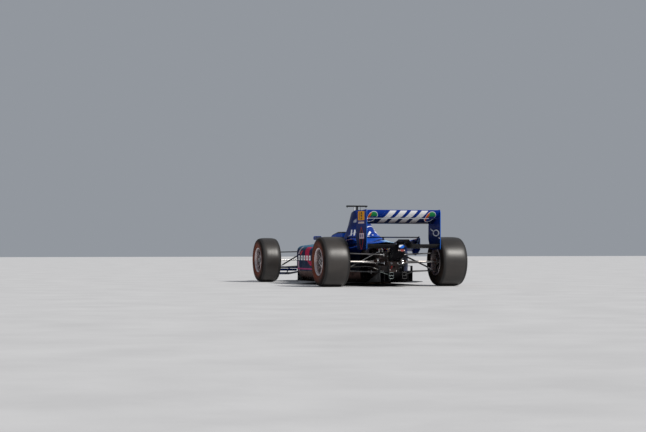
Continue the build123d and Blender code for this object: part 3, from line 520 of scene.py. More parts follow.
def ground():
    surface = Surface("pale_floor")
    colour = surface.mix(surface.noise(1.5, 4.0).ramp(0.3, 0.7), (0.47, 0.47, 0.48), (0.53, 0.53, 0.54))
    return surface.finished(colour, (0.75, 0.9), (surface.noise(60.0, 4.0), 0.0006, 0.5))


BLUE = paint("blue_paint", body_picture)
POD = paint("pod_paint", pod_picture, 0.015, 0.02)
NOSE = paint("nose_paint", nose_picture)
WING = paint("wing_paint", wing_picture)
PLATE = paint("plate_paint", plate_picture, 0.015, 0.02)
FLIP = paint("flip_paint", flip_picture)
FLIP_INNER_LIT = paint("flip_inner_lit_paint", flip_inner_lit_picture)
WING_FRONT = paint("front_wing_paint", front_wing_picture)
FLIP_FRONT = paint("front_plate_paint", front_plate_picture)
CRASH = paint("crash_cone_paint", crash_picture)
CORE = radiator_core()
CARBON = woven("satin_weave")
# painted light: a paler copy of the arms' satin, standing in for sunlit rear arms
REAR_ARM_SUNLIT = mottled("rear_arm_sunlit_satin", (0.045, 0.045, 0.048), (0.085, 0.080, 0.082), 0.34, 9.0, metal=0.2,
                   coat=0.2)
# painted light: shaft steel made paler and partly matt so that it stays bright in shade
SHAFT_LIT = mottled("lit_shaft_steel", (0.54, 0.50, 0.47), (0.42, 0.39, 0.36), 0.36, 16.0, 260.0, 0.00006, 0.35)
ARM = mottled("arm_satin", (0.016, 0.016, 0.018), (0.034, 0.034, 0.037), 0.34, 9.0, metal=0.2, coat=0.15)
BLADE = mottled("bare_blade", (0.10, 0.125, 0.125), (0.06, 0.075, 0.075), 0.34, 14.0, metal=0.5)
CAST = mottled("cast_casing", (0.026, 0.022, 0.021), (0.066, 0.038, 0.032), 0.50, 7.0, 180.0, 0.0006, 0.5)
STEEL = mottled("bare_steel", (0.50, 0.50, 0.51), (0.36, 0.35, 0.34), 0.28, 16.0, 260.0, 0.00006, 0.95)
BRIGHT = mottled("bright_steel", (0.80, 0.80, 0.80), (0.62, 0.62, 0.62), 0.22, 12.0, 260.0, 0.00004, 1.0)
BRASS = mottled("gold_fitting", (0.55, 0.36, 0.10), (0.42, 0.27, 0.08), 0.30, 20.0, 200.0, 0.00006, 0.9)
GREEN_FITTING = mottled("green_fitting", (0.02, 0.30, 0.06), (0.015, 0.22, 0.045), 0.30, 20.0, 200.0,
                        0.00005, 0.6)
ANODISED = mottled("blue_fitting", (0.02, 0.08, 0.42), (0.015, 0.06, 0.32), 0.28, 20.0, 200.0, 0.00005,
                   0.85)
RED_FITTING = mottled("red_fitting", (0.45, 0.02, 0.02), (0.34, 0.015, 0.015), 0.28, 20.0, 200.0, 0.00005,
                      0.8)
HOSE = mottled("black_hose", (0.018, 0.018, 0.019), (0.034, 0.033, 0.032), 0.55, 14.0, 300.0, 0.0003)
BOOT = mottled("rubber_boot", (0.075, 0.026, 0.016), (0.030, 0.016, 0.012), 0.55, 10.0, 200.0, 0.0003)
MATTE = mottled("matte_black", (0.014, 0.014, 0.015), (0.026, 0.026, 0.027), 0.6, 10.0, 300.0, 0.0002)
PALE = mottled("pale_grey", (0.50, 0.51, 0.53), (0.42, 0.43, 0.45), 0.35, 10.0, 300.0, 0.0001, coat=0.3)
DISC = brake_steel()
HEATED = heated_metal()
WOOD = plank_wood()
PAD = cloth("headrest_cloth", (0.012, 0.013, 0.020), (0.030, 0.032, 0.045))
BELT = cloth("belt_webbing", (0.015, 0.05, 0.26), (0.03, 0.09, 0.40), 0.0016)
GRIP = mottled("suede_grip", (0.020, 0.020, 0.022), (0.036, 0.036, 0.038), 0.85, 30.0, 420.0, 0.0005)
MIRROR = glass("mirror_glass", (0.70, 0.74, 0.78), 0.95)
SCREEN = glass("dark_screen", (0.012, 0.014, 0.018))
LENS = lens()
RUBBER = {axle: rubber(axle) for axle in AXLES}
SIDEWALL = {axle: sidewall(axle) for axle in AXLES}
ALLOY = {axle: alloy(axle) for axle in AXLES}


# Shapes

def turns(count, first=0.0):
    """Even angles once round."""
    return [first + 2 * pi * step / count for step in range(count)]


def squared(turn, power):
    """A turn's cosine and sine, pushed out towards a rounded square."""
    return [abs(share) ** power * (1 if share > 0 else -1) for share in (cos(turn), sin(turn))]


def along(start, aim, *distances):
    """Points on a straight line, at distances from its start."""
    start, aim = Vector(start), Vector(aim)
    return [start + aim * distance for distance in distances]


def strut(x, half, levels, count):
    """Oval sections of an upright strut at x, from levels of (z, front y, rear y)."""
    return [[(x + half * sin(a), (y0 + y1) / 2 + (y1 - y0) / 2 * cos(a), z) for a in turns(count)]
            for z, y0, y1 in levels]


def rings_y(x, z, profile, count=48):
    """Rings about a line along the car, from (y, radius) points."""
    return [[(x + reach * cos(a), y, z + reach * sin(a)) for a in turns(count)] for y, reach in profile]


class Form:
    """The points and faces of one piece, gathered before its mesh is made."""

    def __init__(self):
        self.points = []
        self.faces = []
        self.paints = []

    def face(self, corners, paint=0):
        self.faces.append(corners)
        self.paints.append(paint)

    def grid(self, rows, around=False, ends=False, paint=0):
        """Quads between rows of points. Around joins each row's ends, and ends closes the last rows."""
        start = len(self.points)
        count = len(rows[0])
        for row in rows:
            self.points += [tuple(point) for point in row]
        span = count if around else count - 1
        for r in range(len(rows) - 1):
            for c in range(span):
                a = start + r * count + c
                b = start + r * count + (c + 1) % count
                self.face((a, b, b + count, a + count), paint)
        if ends:
            last = start + (len(rows) - 1) * count
            self.face(tuple(start + c for c in reversed(range(count))), paint)
            self.face(tuple(last + c for c in range(count)), paint)
        return self

    def turned(self, profile, centre, side=1, steps=96, paint=0):
        """A shape turned about X from (x, r) points, with x measured outward from the centre."""
        cx, cy, cz = centre
        rows = [[(cx + side * x, cy + r * cos(a), cz + r * sin(a)) for a in turns(steps)]
                for x, r in profile + profile[:1]]
        return self.grid(rows, around=True, paint=paint)

    def tube(self, path, wide, tall=None, hint=None, sides=14, ends=True, paint=0):
        """A round or oval tube along a path. Its half-widths may be numbers or one for each point."""
        path = [Vector(point) for point in path]
        wide = wide if isinstance(wide, (list, tuple)) else [wide] * len(path)
        tall = wide if tall is None else tall
        tall = tall if isinstance(tall, (list, tuple)) else [tall] * len(path)
        rows = []
        cross = None
        for index, (point, a, b) in enumerate(zip(path, wide, tall)):
            ahead = path[min(index + 1, len(path) - 1)] - path[max(index - 1, 0)]
            ahead.normalize()
            if cross is None:
                cross = Vector(hint) if hint else ahead.orthogonal()
            cross = (cross - ahead * cross.dot(ahead)).normalized()
            other = ahead.cross(cross)
            rows.append([point + cross * (a * cos(t)) + other * (b * sin(t)) for t in turns(sides)])
        return self.grid(rows, around=True, ends=ends, paint=paint)

    def box(self, low, high, paint=0):
        (x0, y0, z0), (x1, y1, z1) = low, high
        rows = [[(x0, y0, z), (x1, y0, z), (x1, y1, z), (x0, y1, z)] for z in (z0, z1)]
        return self.grid(rows, around=True, ends=True, paint=paint)

    def plate(self, outline, shift, paint=0):
        """A flat plate from its outline's points, thickened by the shift."""
        near = [Vector(point) for point in outline]
        far = [point + Vector(shift) for point in near]
        return self.grid([near, far], around=True, ends=True, paint=paint)

    def stud(self, base, axis, radius, height, sides=6, paint=0):
        """A small bolt head or pin."""
        base = Vector(base)
        axis = Vector(axis).normalized()
        path = [base, base + axis * height * 0.8, base + axis * height]
        return self.tube(path, [radius, radius, radius * 0.8], sides=sides, paint=paint)

    def add(self, other):
        """Another form joined to this one."""
        start = len(self.points)
        self.points += other.points
        for corners, paint in zip(other.faces, other.paints):
            self.face(tuple(start + c for c in corners), paint)
        return self

    def flipped(self):
        """The same shape on the car's other side instead."""
        other = Form()
        other.points = [(-x, y, z) for x, y, z in self.points]
        other.faces = [tuple(reversed(corners)) for corners in self.faces]
        other.paints = list(self.paints)
        return other

    def mirrored(self):
        """The same shape on the car's other side as well."""
        return self.add(self.flipped())


def smooth(mesh, sharp):
    mesh.polygons.foreach_set("use_smooth", [True] * len(mesh.polygons))
    mesh.set_sharp_from_angle(angle=radians(sharp))


def piece(name, form, slot, *materials, body="chassis", sharp=35, bevel=0.0, wall=0.0):
    """Makes a form into an object that rides on a body."""
    mesh = bpy.data.meshes.new(name)
    mesh.from_pydata(form.points, [], form.faces)
    mesh.polygons.foreach_set("material_index", form.paints)
    work = bmesh.new()
    work.from_mesh(mesh)
    bmesh.ops.remove_doubles(work, verts=work.verts, dist=1e-6)
    bmesh.ops.recalc_face_normals(work, faces=work.faces)
    work.to_mesh(mesh)
    work.free()
    smooth(mesh, sharp)
    obj = bpy.data.objects.new(name, mesh)
    bpy.context.scene.collection.objects.link(obj)
    for material in materials:
        mesh.materials.append(material)
    if wall:
        thick = obj.modifiers.new("wall", "SOLIDIFY")
        thick.thickness = wall
        thick.offset = -1
    if bevel:
        soften_edges(obj, bevel, sharp)
    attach(obj, body)
    return obj


def soften_edges(obj, width, angle=35):
    edge = obj.modifiers.new("edge", "BEVEL")
    edge.width = width
    edge.segments = 2
    edge.limit_method = "ANGLE"
    edge.angle_limit = radians(angle)
    edge.harden_normals = True


def baked(obj):
    """Makes the object's modifiers part of its mesh."""
    graph = bpy.context.evaluated_depsgraph_get()
    mesh = bpy.data.meshes.new_from_object(obj.evaluated_get(graph))
    obj.modifiers.clear()
    obj.data = mesh
    smooth(mesh, 35)


def cut(obj, form):
    """Takes a closed form out of the object."""
    mesh = bpy.data.meshes.new("cutter")
    mesh.from_pydata(form.points, [], form.faces)
    work = bmesh.new()
    work.from_mesh(mesh)
    bmesh.ops.recalc_face_normals(work, faces=work.faces)
    work.to_mesh(mesh)
    work.free()
    cutter = bpy.data.objects.new("cutter", mesh)
    bpy.context.scene.collection.objects.link(cutter)
    taken = obj.modifiers.new("cut", "BOOLEAN")
    taken.operation = "DIFFERENCE"
    taken.solver = "EXACT"
    taken.object = cutter
    bpy.context.view_layer.update()
    baked(obj)
    bpy.data.objects.remove(cutter)


def spread(low, high, count):
    return [low + (high - low) * step / (count - 1) for step in range(count)]


def curve(points, steps=6):
    """A smooth run through the points."""
    points = [Vector(point) for point in points]
    run = []
    for index in range(len(points) - 1):
        a = points[max(index - 1, 0)]
        b = points[index]
        c = points[index + 1]
        d = points[min(index + 2, len(points) - 1)]
        for step in range(steps):
            t = step / steps
            run.append(0.5 * (2 * b + (c - a) * t + (2 * a - 5 * b + 4 * c - d) * t ** 2
                              + (3 * b - a - 3 * c + d) * t ** 3))
    return run + [points[-1]]


def eased(table, y):
    """A table's row at y, each column running smoothly from row to row without overshoot."""
    if y <= table[0][0]:
        return list(table[0][1:])
    if y >= table[-1][0]:
        return list(table[-1][1:])
    index = max(i for i, row in enumerate(table[:-1]) if row[0] <= y)
    slopes = []
    for i in (index, index + 1):
        row = []
        for c in range(1, len(table[0])):
            before = after = None
            if i > 0:
                before = (table[i][c] - table[i - 1][c]) / (table[i][0] - table[i - 1][0])
            if i < len(table) - 1:
                after = (table[i + 1][c] - table[i][c]) / (table[i + 1][0] - table[i][0])
            if before is None or after is None:
                row.append(before if after is None else after)
            elif before * after <= 0:
                row.append(0.0)
            else:
                row.append(2 * before * after / (before + after))
        slopes.append(row)
    low, high = table[index], table[index + 1]
    length = high[0] - low[0]
    t = (y - low[0]) / length
    values = []
    for c in range(1, len(low)):
        h00 = 2 * t ** 3 - 3 * t ** 2 + 1
        h10 = t ** 3 - 2 * t ** 2 + t
        h01 = 3 * t ** 2 - 2 * t ** 3
        h11 = t ** 3 - t ** 2
        values.append(h00 * low[c] + h10 * length * slopes[0][c - 1]
                      + h01 * high[c] + h11 * length * slopes[1][c - 1])
    return values


def softened(corners, radii, steps=6):
    """An open chain of corners with the inner ones rounded, always with as many points."""
    corners = [Vector(corner) for corner in corners]
    chain = [corners[0]]
    for before, corner, after, radius in zip(corners, corners[1:], corners[2:], radii):
        back = before - corner
        fore = after - corner
        start = corner + back.normalized() * min(radius, 0.48 * back.length)
        end = corner + fore.normalized() * min(radius, 0.48 * fore.length)
        for step in range(steps + 1):
            t = step / steps
            chain.append(start * (1 - t) ** 2 + corner * 2 * t * (1 - t) + end * t * t)
    return chain + [corners[-1]]


def rounded_loop(corners, radius, steps=5):
    """A closed outline with every corner rounded."""
    count = len(corners)
    loop = []
    for index in range(count):
        chain = [corners[index - 1], corners[index], corners[(index + 1) % count]]
        loop += softened(chain, [radius], steps)[1:-1]
    return loop


def whole(left):
    """A closed loop from its left half, which starts and ends on the car's middle."""
    return left + [Vector((-p.x, p.y)) for p in reversed(left[1:-1])]


def rounded_box(x, z, half_x, half_z, radius):
    """A rectangle with rounded corners about (x, z)."""
    signs = ((-1, -1), (1, -1), (1, 1), (-1, 1))
    return rounded_loop([(x + sx * half_x, z + sz * half_z) for sx, sz in signs], radius, 6)


def at_y(loop, y):
    """A flat outline of (x, z) points, stood across the car at y."""
    return [(point.x, y, point.y) for point in loop]


def box_rows(x, z, half_x, half_z, radius, places):
    """Rounded rectangles across the car about (x, z), one for each place's y and scale."""
    return [at_y(rounded_box(x, z, half_x * scale, half_z * scale, radius * scale), y)
            for y, scale in places]


def ring(y, half, radii):
    """A closed section across the car from its left half."""
    return at_y(whole(softened(half, radii)), y)


def foil(x, y, z, chord, thickness, camber, angle, steps=14):
    """A wing section's points, hollow side up, with its nose at (y, z) and its tail raised."""
    lift = radians(angle)
    loop = []
    for step in range(2 * steps + 1):
        u = (1 + cos(pi * step / steps)) / 2
        half = 5 * thickness * (0.2969 * sqrt(u) - 0.126 * u - 0.3516 * u ** 2 + 0.2843 * u ** 3
                                - 0.1015 * u ** 4)
        half = max(half, 0.0009) if u > 0.5 else half
        v = (half if step <= steps else -half) - 4 * camber * u * (1 - u)
        loop.append((x, y + u * chord * cos(lift) - v * sin(lift),
                     z + u * chord * sin(lift) + v * cos(lift)))
    return loop


def node_look(name, material, bevel=0.0, angle=30):
    """A CAD piece that stays, with its own material and slightly rounded edges."""
    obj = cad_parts[name]
    obj.data.materials.clear()
    obj.data.materials.append(material)
    if bevel:
        weld = obj.modifiers.new("weld", "WELD")
        weld.merge_threshold = 0.00002
        soften_edges(obj, bevel, angle)


# Wheels

WHEELS = [(axle, side_name, side, (side * TYRES[axle].x, TYRES[axle].y, AXLE_Z),
           TYRES[axle].half - TYRE_EASE)
          for axle in AXLES for side_name, side in (("left", 1), ("right", -1))]

RIM_INSET = 0.012
FLANGE = 0.008
SPOKES = 10
SPOKE_FACE = 0.042
RIM_WELL = 0.157
HUB_INSET = {"front": 0.075, "rear": 0.095}
DISC_OUT = 0.042


def tyre_profile(half):
    """The tyre's section as (x, r) points, from bead to bead and back inside."""
    bead = half - RIM_INSET - FLANGE - GAP
    wall = [(bead, 0.1655), (bead, 0.1850), (bead + 0.005, 0.1925), (half - 0.0125, 0.2040),
            (half - 0.0085, 0.2062), (half - 0.0075, 0.2105), (half - 0.0075, 0.2140)]
    side = curve([(half - 0.0075, 0.2140), (half - 0.0015, 0.2340), (half, 0.2550),
                  (half - 0.0035, 0.2790), (half - 0.0125, 0.2990), (half - 0.0290, 0.3140),
                  (half - 0.0540, 0.3215), (half * 0.45, 0.3262), (0, TYRE_RADIUS)], 4)
    outer = wall + [tuple(point) for point in side[1:]]
    outer = outer + [(-x, r) for x, r in reversed(outer[:-1])]
    inner = [(-(bead - 0.012), 0.1655), (-(half - 0.020), 0.255), (-(half - 0.045), 0.3050),
             (half - 0.045, 0.3050), (half - 0.020, 0.255), (bead - 0.012, 0.1655)]
    return outer + inner


def rim_profile(edge):
    """The rim's section: two flanges, bead seats, a well, and the dish inside."""
    outside = [(-0.001, 0.1820), (-0.003, 0.1835), (-FLANGE, 0.1835), (-0.0085, 0.1650), (-0.032, 0.1650),
               (-0.046, 0.1605)]
    back = [(0.046, 0.1605), (0.032, 0.1650), (0.0085, 0.1650), (FLANGE, 0.1835), (0.002, 0.1835),
            (0, 0.1815), (0, 0.1760), (0.006, 0.1600), (0.014, RIM_WELL)]
    inside = [(-0.030, RIM_WELL), (-0.022, 0.1590), (-0.010, 0.1640), (-0.004, 0.1730), (0, 0.1800)]
    return ([(edge + x, r) for x, r in outside] + [(x - edge, r) for x, r in back]
            + [(edge + x, r) for x, r in inside])


def wheel_point(centre, side, x, reach, angle, wide=0.0):
    """A point on a wheel, x outward from its middle and reach from its axle at an angle from the top."""
    return (centre[0] + side * x, centre[1] + wide * cos(angle) - reach * sin(angle),
            centre[2] + wide * sin(angle) + reach * cos(angle))


def add_spokes(form, centre, side, face):
    """Tapered spokes, waisted in the middle and dished, spread round the wheel."""
    stations = [(0.050, 0.0160, 0.0), (0.060, 0.0130, 0.0), (0.076, 0.0085, -0.002),
                (0.100, 0.0066, -0.005), (0.125, 0.0064, -0.004), (0.143, 0.0080, -0.001),
                (0.153, 0.0115, 0.001), (0.1595, 0.0165, 0.002)]
    section = [squared(turn, 0.6) for turn in turns(12, pi / 12)]
    for angle in turns(SPOKES, pi / 2):
        rows = []
        for reach, half_width, dish in stations:
            middle, depth = face - 0.010 + dish / 2, 0.010 + dish / 2
            rows.append([wheel_point(centre, side, middle + depth * b, reach, angle, half_width * a)
                         for a, b in section])
        form.grid(rows, around=True, ends=True)


def make_wheel(axle, side_name, side, centre, half):
    """Tyre, spoked rim with its studs, and the hub behind it."""
    body = "wheel_" + axle + "_" + side_name
    tyre = piece("slick_" + axle + "_" + side_name, Form().turned(tyre_profile(half), centre, side, 144),
                 "tyre_rubber", RUBBER[axle], SIDEWALL[axle], body=body, sharp=50)
    for polygon in tyre.data.polygons:
        if hypot(polygon.center.y - centre[1], polygon.center.z - centre[2]) < TREAD_FROM:
            polygon.material_index = 1
    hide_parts(axle + "_tyre_" + side_name)
    edge = half - RIM_INSET
    face = edge - SPOKE_FACE
    form = Form().turned(rim_profile(edge), centre, side)
    add_spokes(form, centre, side, face)
    boss = [(-0.020, 0.030), (-0.020, 0.060), (-0.014, 0.0625), (-0.002, 0.0625), (0, 0.0605),
            (0, 0.050), (-0.004, 0.048), (-0.004, 0.041), (0, 0.039), (0, 0.0307)]
    form.turned([(face + x, r) for x, r in boss], centre, side, 72)
    rim = piece("spoked_rim_" + axle + "_" + side_name, form, "rim_alloy", ALLOY[axle], body=body,
                sharp=40)
    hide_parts(axle + "_rim_" + side_name)
    bolts = Form()
    for angle in turns(20, pi / 20):
        bolts.stud(wheel_point(centre, side, edge - 0.0125, 0.1615, angle), (side, 0, 0), 0.0032, 0.0045,
                   8)
    for angle in turns(SPOKES, pi / SPOKES):
        bolts.stud(wheel_point(centre, side, face, 0.055, angle), (side, 0, 0), 0.0042, 0.0040, 12)
    valve = wheel_point(centre, side, edge - 0.030, 0.150, 0.3)
    bolts.stud(valve, (side, 0, 0), 0.0035, 0.022, 10)
    piece("rim_studs_" + axle + "_" + side_name, bolts, "hub_steel", BRIGHT, body=body)
    make_hub(axle, side_name, side, centre, face, body)


def add_nut(form, centre, side, face):
    """The centre nut: a chamfered six-sided nut on a round foot, with a hollow middle."""
    start, end = face + GAP, face + 0.026
    rows = [(x, 0.038 * grow, False) for x, grow in
            ((start, 0.97), (start + 0.002, 1.0), (start + 0.006, 1.0), (start + 0.007, 0.90))]
    rows += [(x, 0.038 * grow, True) for x, grow in
             ((start + 0.008, 0.86), (end - 0.003, 0.86), (end, 0.78))]
    rows += [(end, 0.020, False), (end - 0.014, 0.018, False), (end - 0.014, 0.001, False)]
    grid = []
    for x, radius, sided in rows:
        row = []
        for a in turns(48):
            flat = (a + pi / 6) % (pi / 3) - pi / 6
            reach = radius * 0.9 / cos(flat) if sided else radius
            row.append((centre[0] + side * x, centre[1] + reach * cos(a), centre[2] + reach * sin(a)))
        grid.append(row)
    form.grid(grid, around=True, paint=1)


def make_hub(axle, side_name, side, centre, face, body):
    """A vented brake disc, its bell, the hub, the centre nut and, at the rear, a driveshaft."""
    disc = -HUB_INSET[axle] + DISC_OUT
    form = Form()
    friction = [(0, 0.076), (0, 0.1265), (0.001, 0.128), (0.006, 0.128), (0.007, 0.1265), (0.007, 0.076)]
    for start in (disc, disc + 0.013):
        form.turned([(start + x, r) for x, r in friction], centre, side, 72)
    vane = ((0.006, -0.0018), (0.014, -0.0018), (0.014, 0.0018), (0.006, 0.0018))
    for angle in turns(36):
        rows = [[wheel_point(centre, side, disc + x, reach, angle, wide) for x, wide in vane]
                for reach in (0.080, 0.1255)]
        form.grid(rows, around=True, ends=True)
    flange = face - 0.020
    bore = 0.0223 if axle == "front" else 0.001
    bell = [(disc, bore), (disc, 0.078), (disc + 0.007, 0.078), (disc + 0.024, 0.060),
            (disc + 0.030, 0.040), (flange - 0.016, 0.038), (flange - 0.012, 0.060), (flange, 0.062),
            (flange, 0.0305), (face, 0.0305), (face, bore)]
    form.turned(bell, centre, side, 72, paint=1)
    add_nut(form, centre, side, face)
    for angle in turns(6):
        at = wheel_point(centre, side, flange - 0.012, 0.050, angle)
        form.stud(at, (-side, 0, 0), 0.005, 0.008, 6, paint=1)
    if axle == "rear":
        add_driveshaft(form, centre, side, disc)
    hub = piece("hub_and_disc_" + axle + "_" + side_name, form, "hub_steel", DISC, STEEL, BOOT, SHAFT_LIT,
                body=body, sharp=30)
    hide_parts(axle + "_hub_" + side_name)


def add_driveshaft(form, centre, side, disc):
    """A steel shaft between two jointed ends, each a bolted cup with a ribbed boot."""
    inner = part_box("rear_hub_left")[0].x - centre[0] * side
    journal = -HUB_INSET["rear"] - 0.028
    half = [(0.06, 0.001), (0.06, 0.014), (0.11, 0.0145), (0.125, 0.0125)]
    shaft = [(inner + x, r) for x, r in half] + [(journal - x, r) for x, r in reversed(half)]
    # the shaft takes the paler steel of painted light
    form.turned(shaft, centre, side, 32, paint=3)
    stub = [(journal, 0.001), (journal, 0.0317), (disc, 0.0317), (disc, 0.001)]
    form.turned(stub, centre, side, 48, paint=1)
    cup = [(0, 0.001), (0, 0.043), (0.003, 0.044), (0.032, 0.044), (0.035, 0.041), (0.035, 0.001)]
    boot = [(0.035, 0.001)]
    for fold in range(4):
        x, reach = 0.036 + fold * 0.009, 0.039 - fold * 0.0058
        boot += [(x, reach - 0.003), (x + 0.0045, reach)]
    boot += [(0.073, 0.0165), (0.078, 0.0165), (0.078, 0.001)]
    for base, out in ((inner, 1), (journal, -1)):
        form.turned([(base + out * x, r) for x, r in cup], centre, side, 48, paint=1)
        form.turned([(base + out * x, r) for x, r in boot], centre, side, 48, paint=2)
        for angle in turns(6, 0.2):
            at = wheel_point(centre, side, base + out * 0.030, 0.0395, angle)
            form.stud(at, (side * out, 0, 0), 0.004, 0.007, 6, paint=1)


for wheel in WHEELS:
    make_wheel(*wheel)


# Bodywork

TUB_FRONT_Y = -1.500
TUB_REAR_Y = 0.470
# y, keel x, keel z, side x, low z, high z, top x, top z
TUB_ROWS = [
    (TUB_FRONT_Y, 0.110, 0.235, 0.150, 0.290, 0.470, 0.105, 0.545),
    (-0.900, 0.150, 0.120, 0.215, 0.200, 0.520, 0.140, 0.625),
    (-0.450, 0.220, 0.0503, 0.262, 0.120, 0.590, 0.195, 0.660),
    (TUB_REAR_Y, 0.220, 0.0503, 0.262, 0.120, 0.590, 0.195, 0.660),
]
# y, floor x, side x, under z, shoulder z, seam x, seam z, hump x, hump z, top x, top z
BODY_ROWS = [
    (-0.230, 0.600, 0.700, 0.195, 0.530, 0.262, 0.585, 0.150, 0.590, 0.075, 0.600),
    (TUB_REAR_Y, 0.640, 0.700, 0.195, 0.515, 0.262, 0.575, 0.150, 0.790, 0.075, 1.035),
    (0.900, 0.545, 0.570, 0.150, 0.450, 0.245, 0.560, 0.125, 0.700, 0.048, 0.805),
    (1.300, 0.300, 0.310, 0.130, 0.410, 0.230, 0.572, 0.110, 0.605, 0.040, 0.655),
    (1.650, 0.150, 0.232, 0.300, 0.480, 0.210, 0.570, 0.090, 0.583, 0.040, 0.590),
]
# y, low x, low z, high x, high z
NOSE_ROWS = [
    (-2.300, 0.032, 0.186, 0.024, 0.236),
    (-2.270, 0.044, 0.181, 0.033, 0.262),
    (-2.200, 0.058, 0.180, 0.046, 0.300),
    (-2.060, 0.076, 0.192, 0.064, 0.366),
    (-1.900, 0.090, 0.205, 0.080, 0.430),
    (-1.700, 0.106, 0.220, 0.100, 0.496),
    (-1.5003, 0.118, 0.235, 0.112, 0.545),
]
POD_FRONT_Y = -0.230
POD_REAR_Y = 1.380
POD_POINTS = 96
AIRBOX_POINTS = 120
NOSE_TIP_Y = -2.262
TAIL_Y = 1.650
SKIN = 0.006
TUB_WALL = 0.028
AIRBOX_FRONT_Y = 0.392


def offset(chain, distance):
    """A chain of (x, z) points moved sideways, to the left of its run."""
    moved = []
    for index, point in enumerate(chain):
        run = (chain[min(index + 1, len(chain) - 1)] - chain[max(index - 1, 0)]).normalized()
        moved.append(Vector((point.x - run.y * distance, point.y + run.x * distance)))
    return moved


def shell_rows(chains, wall):
    """Closed sections of a skin, from its outer chains."""
    return [at_y(chain + offset(chain, wall)[::-1], y) for y, chain in chains]


def even(loop, count):
    """A closed loop as a number of points at even distances along it."""
    loop = [Vector(point) for point in loop]
    lengths = [(loop[(i + 1) % len(loop)] - loop[i]).length for i in range(len(loop))]
    step = sum(lengths) / count
    points = []
    index = 0
    walked = 0.0
    for number in range(count):
        target = number * step
        while walked + lengths[index] < target:
            walked += lengths[index]
            index += 1
        share = (target - walked) / lengths[index]
        points.append(loop[index].lerp(loop[(index + 1) % len(loop)], share))
    return points


def blend_loops(first, second, share):
    """A loop part of the way from one to another."""
    return [a.lerp(b, share) for a, b in zip(first, second)]


def lined_up(loop, guide):
    """The loop, started from the point that fits the guide's start best."""
    count = len(loop)
    shift = min(range(count), key=lambda start: sum((guide[i] - loop[(i + start) % count]).length
                                                    for i in range(0, count, 8)))
    return loop[shift:] + loop[:shift]


def tub_half(y, grow=0.0):
    keel_x, keel_z, side_x, low_z, high_z, top_x, top_z = eased(TUB_ROWS, y)
    return [(0, keel_z - grow), (keel_x + grow, keel_z - grow), (side_x + grow, low_z),
            (side_x + grow, high_z), (top_x + grow, top_z + grow), (0, top_z + grow)]


def tub_form(first, last, count, grow=0.0):
    rows = [ring(y, tub_half(y, grow), (0.030, 0.040, 0.060, 0.050)) for y in spread(first, last, count)]
    return Form().grid(rows, around=True, ends=True)


def make_monocoque():
    """The tub as a thick shell, with the cockpit cut into its deck."""
    tub = piece("tub", tub_form(TUB_FRONT_Y, TUB_REAR_Y, 80), "painted_blue", NOSE, CARBON, sharp=40)
    cut(tub, tub_form(-1.470, 0.440, 50, -TUB_WALL))
    corners = [(-0.115, -0.468), (0.115, -0.468), (0.172, -0.350), (0.172, 0.330), (-0.172, 0.330),
               (-0.172, -0.350)]
    loop = rounded_loop(corners, 0.070, 8)
    hole = Form().grid([[(p.x, p.y, z) for p in loop] for z in (0.585, 0.80)], around=True, ends=True)
    cut(tub, hole)
    for polygon in tub.data.polygons:
        x, y, z = polygon.center
        keel_z, side_x, top_z = [eased(TUB_ROWS, y)[column] for column in (1, 2, 6)]
        if abs(x) < side_x - 0.013 and keel_z + 0.013 < z < top_z - 0.013:
            polygon.material_index = 1
    soften_edges(tub, 0.004, 50)
    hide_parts("monocoque")
    path = [(p.x * 1.012, -0.069 + (p.y + 0.069) * 1.006, TUB_TOP) for p in loop]
    trim = Form().tube(path + path[:2], 0.0045, sides=10, ends=False)
    piece("cockpit_edge_trim", trim, "black_composite", MATTE)


def nose_ring(y, low_x, low_z, high_x, high_z, scale=1.0):
    half = [(0, low_z), (low_x, low_z), (high_x, high_z), (0, high_z)]
    return ring(y, half, (0.030 * scale, 0.045 * scale))


def make_nose():
    """The drooping nose cone with a rounded tip."""
    rows = [nose_ring(y, *eased(NOSE_ROWS, y)) for y in spread(-1.5003, NOSE_TIP_Y, 46)]
    low_x, low_z, high_x, high_z = eased(NOSE_ROWS, NOSE_TIP_Y)
    middle = (low_z + high_z) / 2
    for step in range(1, 9):
        turn = pi / 2 * step / 8.4
        scale = cos(turn)
        low, high = [middle - 0.012 * (1 - scale) + (z - middle) * scale for z in (low_z, high_z)]
        rows.append(nose_ring(NOSE_TIP_Y - 0.0375 * sin(turn), low_x * scale, low, high_x * scale, high,
                              scale))
    nose = piece("nose", Form().grid(rows, around=True, ends=True), "painted_blue", NOSE, sharp=60)
    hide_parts("nose_cone")


def pod_chain(y):
    """The pod's skin from the floor's edge up to the seam, at one place."""
    floor_x, side_x, under_z, shoulder_z, seam_x, seam_z = eased(BODY_ROWS, y)[:6]
    corners = [(floor_x, FLOOR_TOP + GAP), (side_x, under_z), (side_x, shoulder_z),
               (seam_x + GAP, seam_z)]
    return softened(corners, (0.070, 0.085), 10)


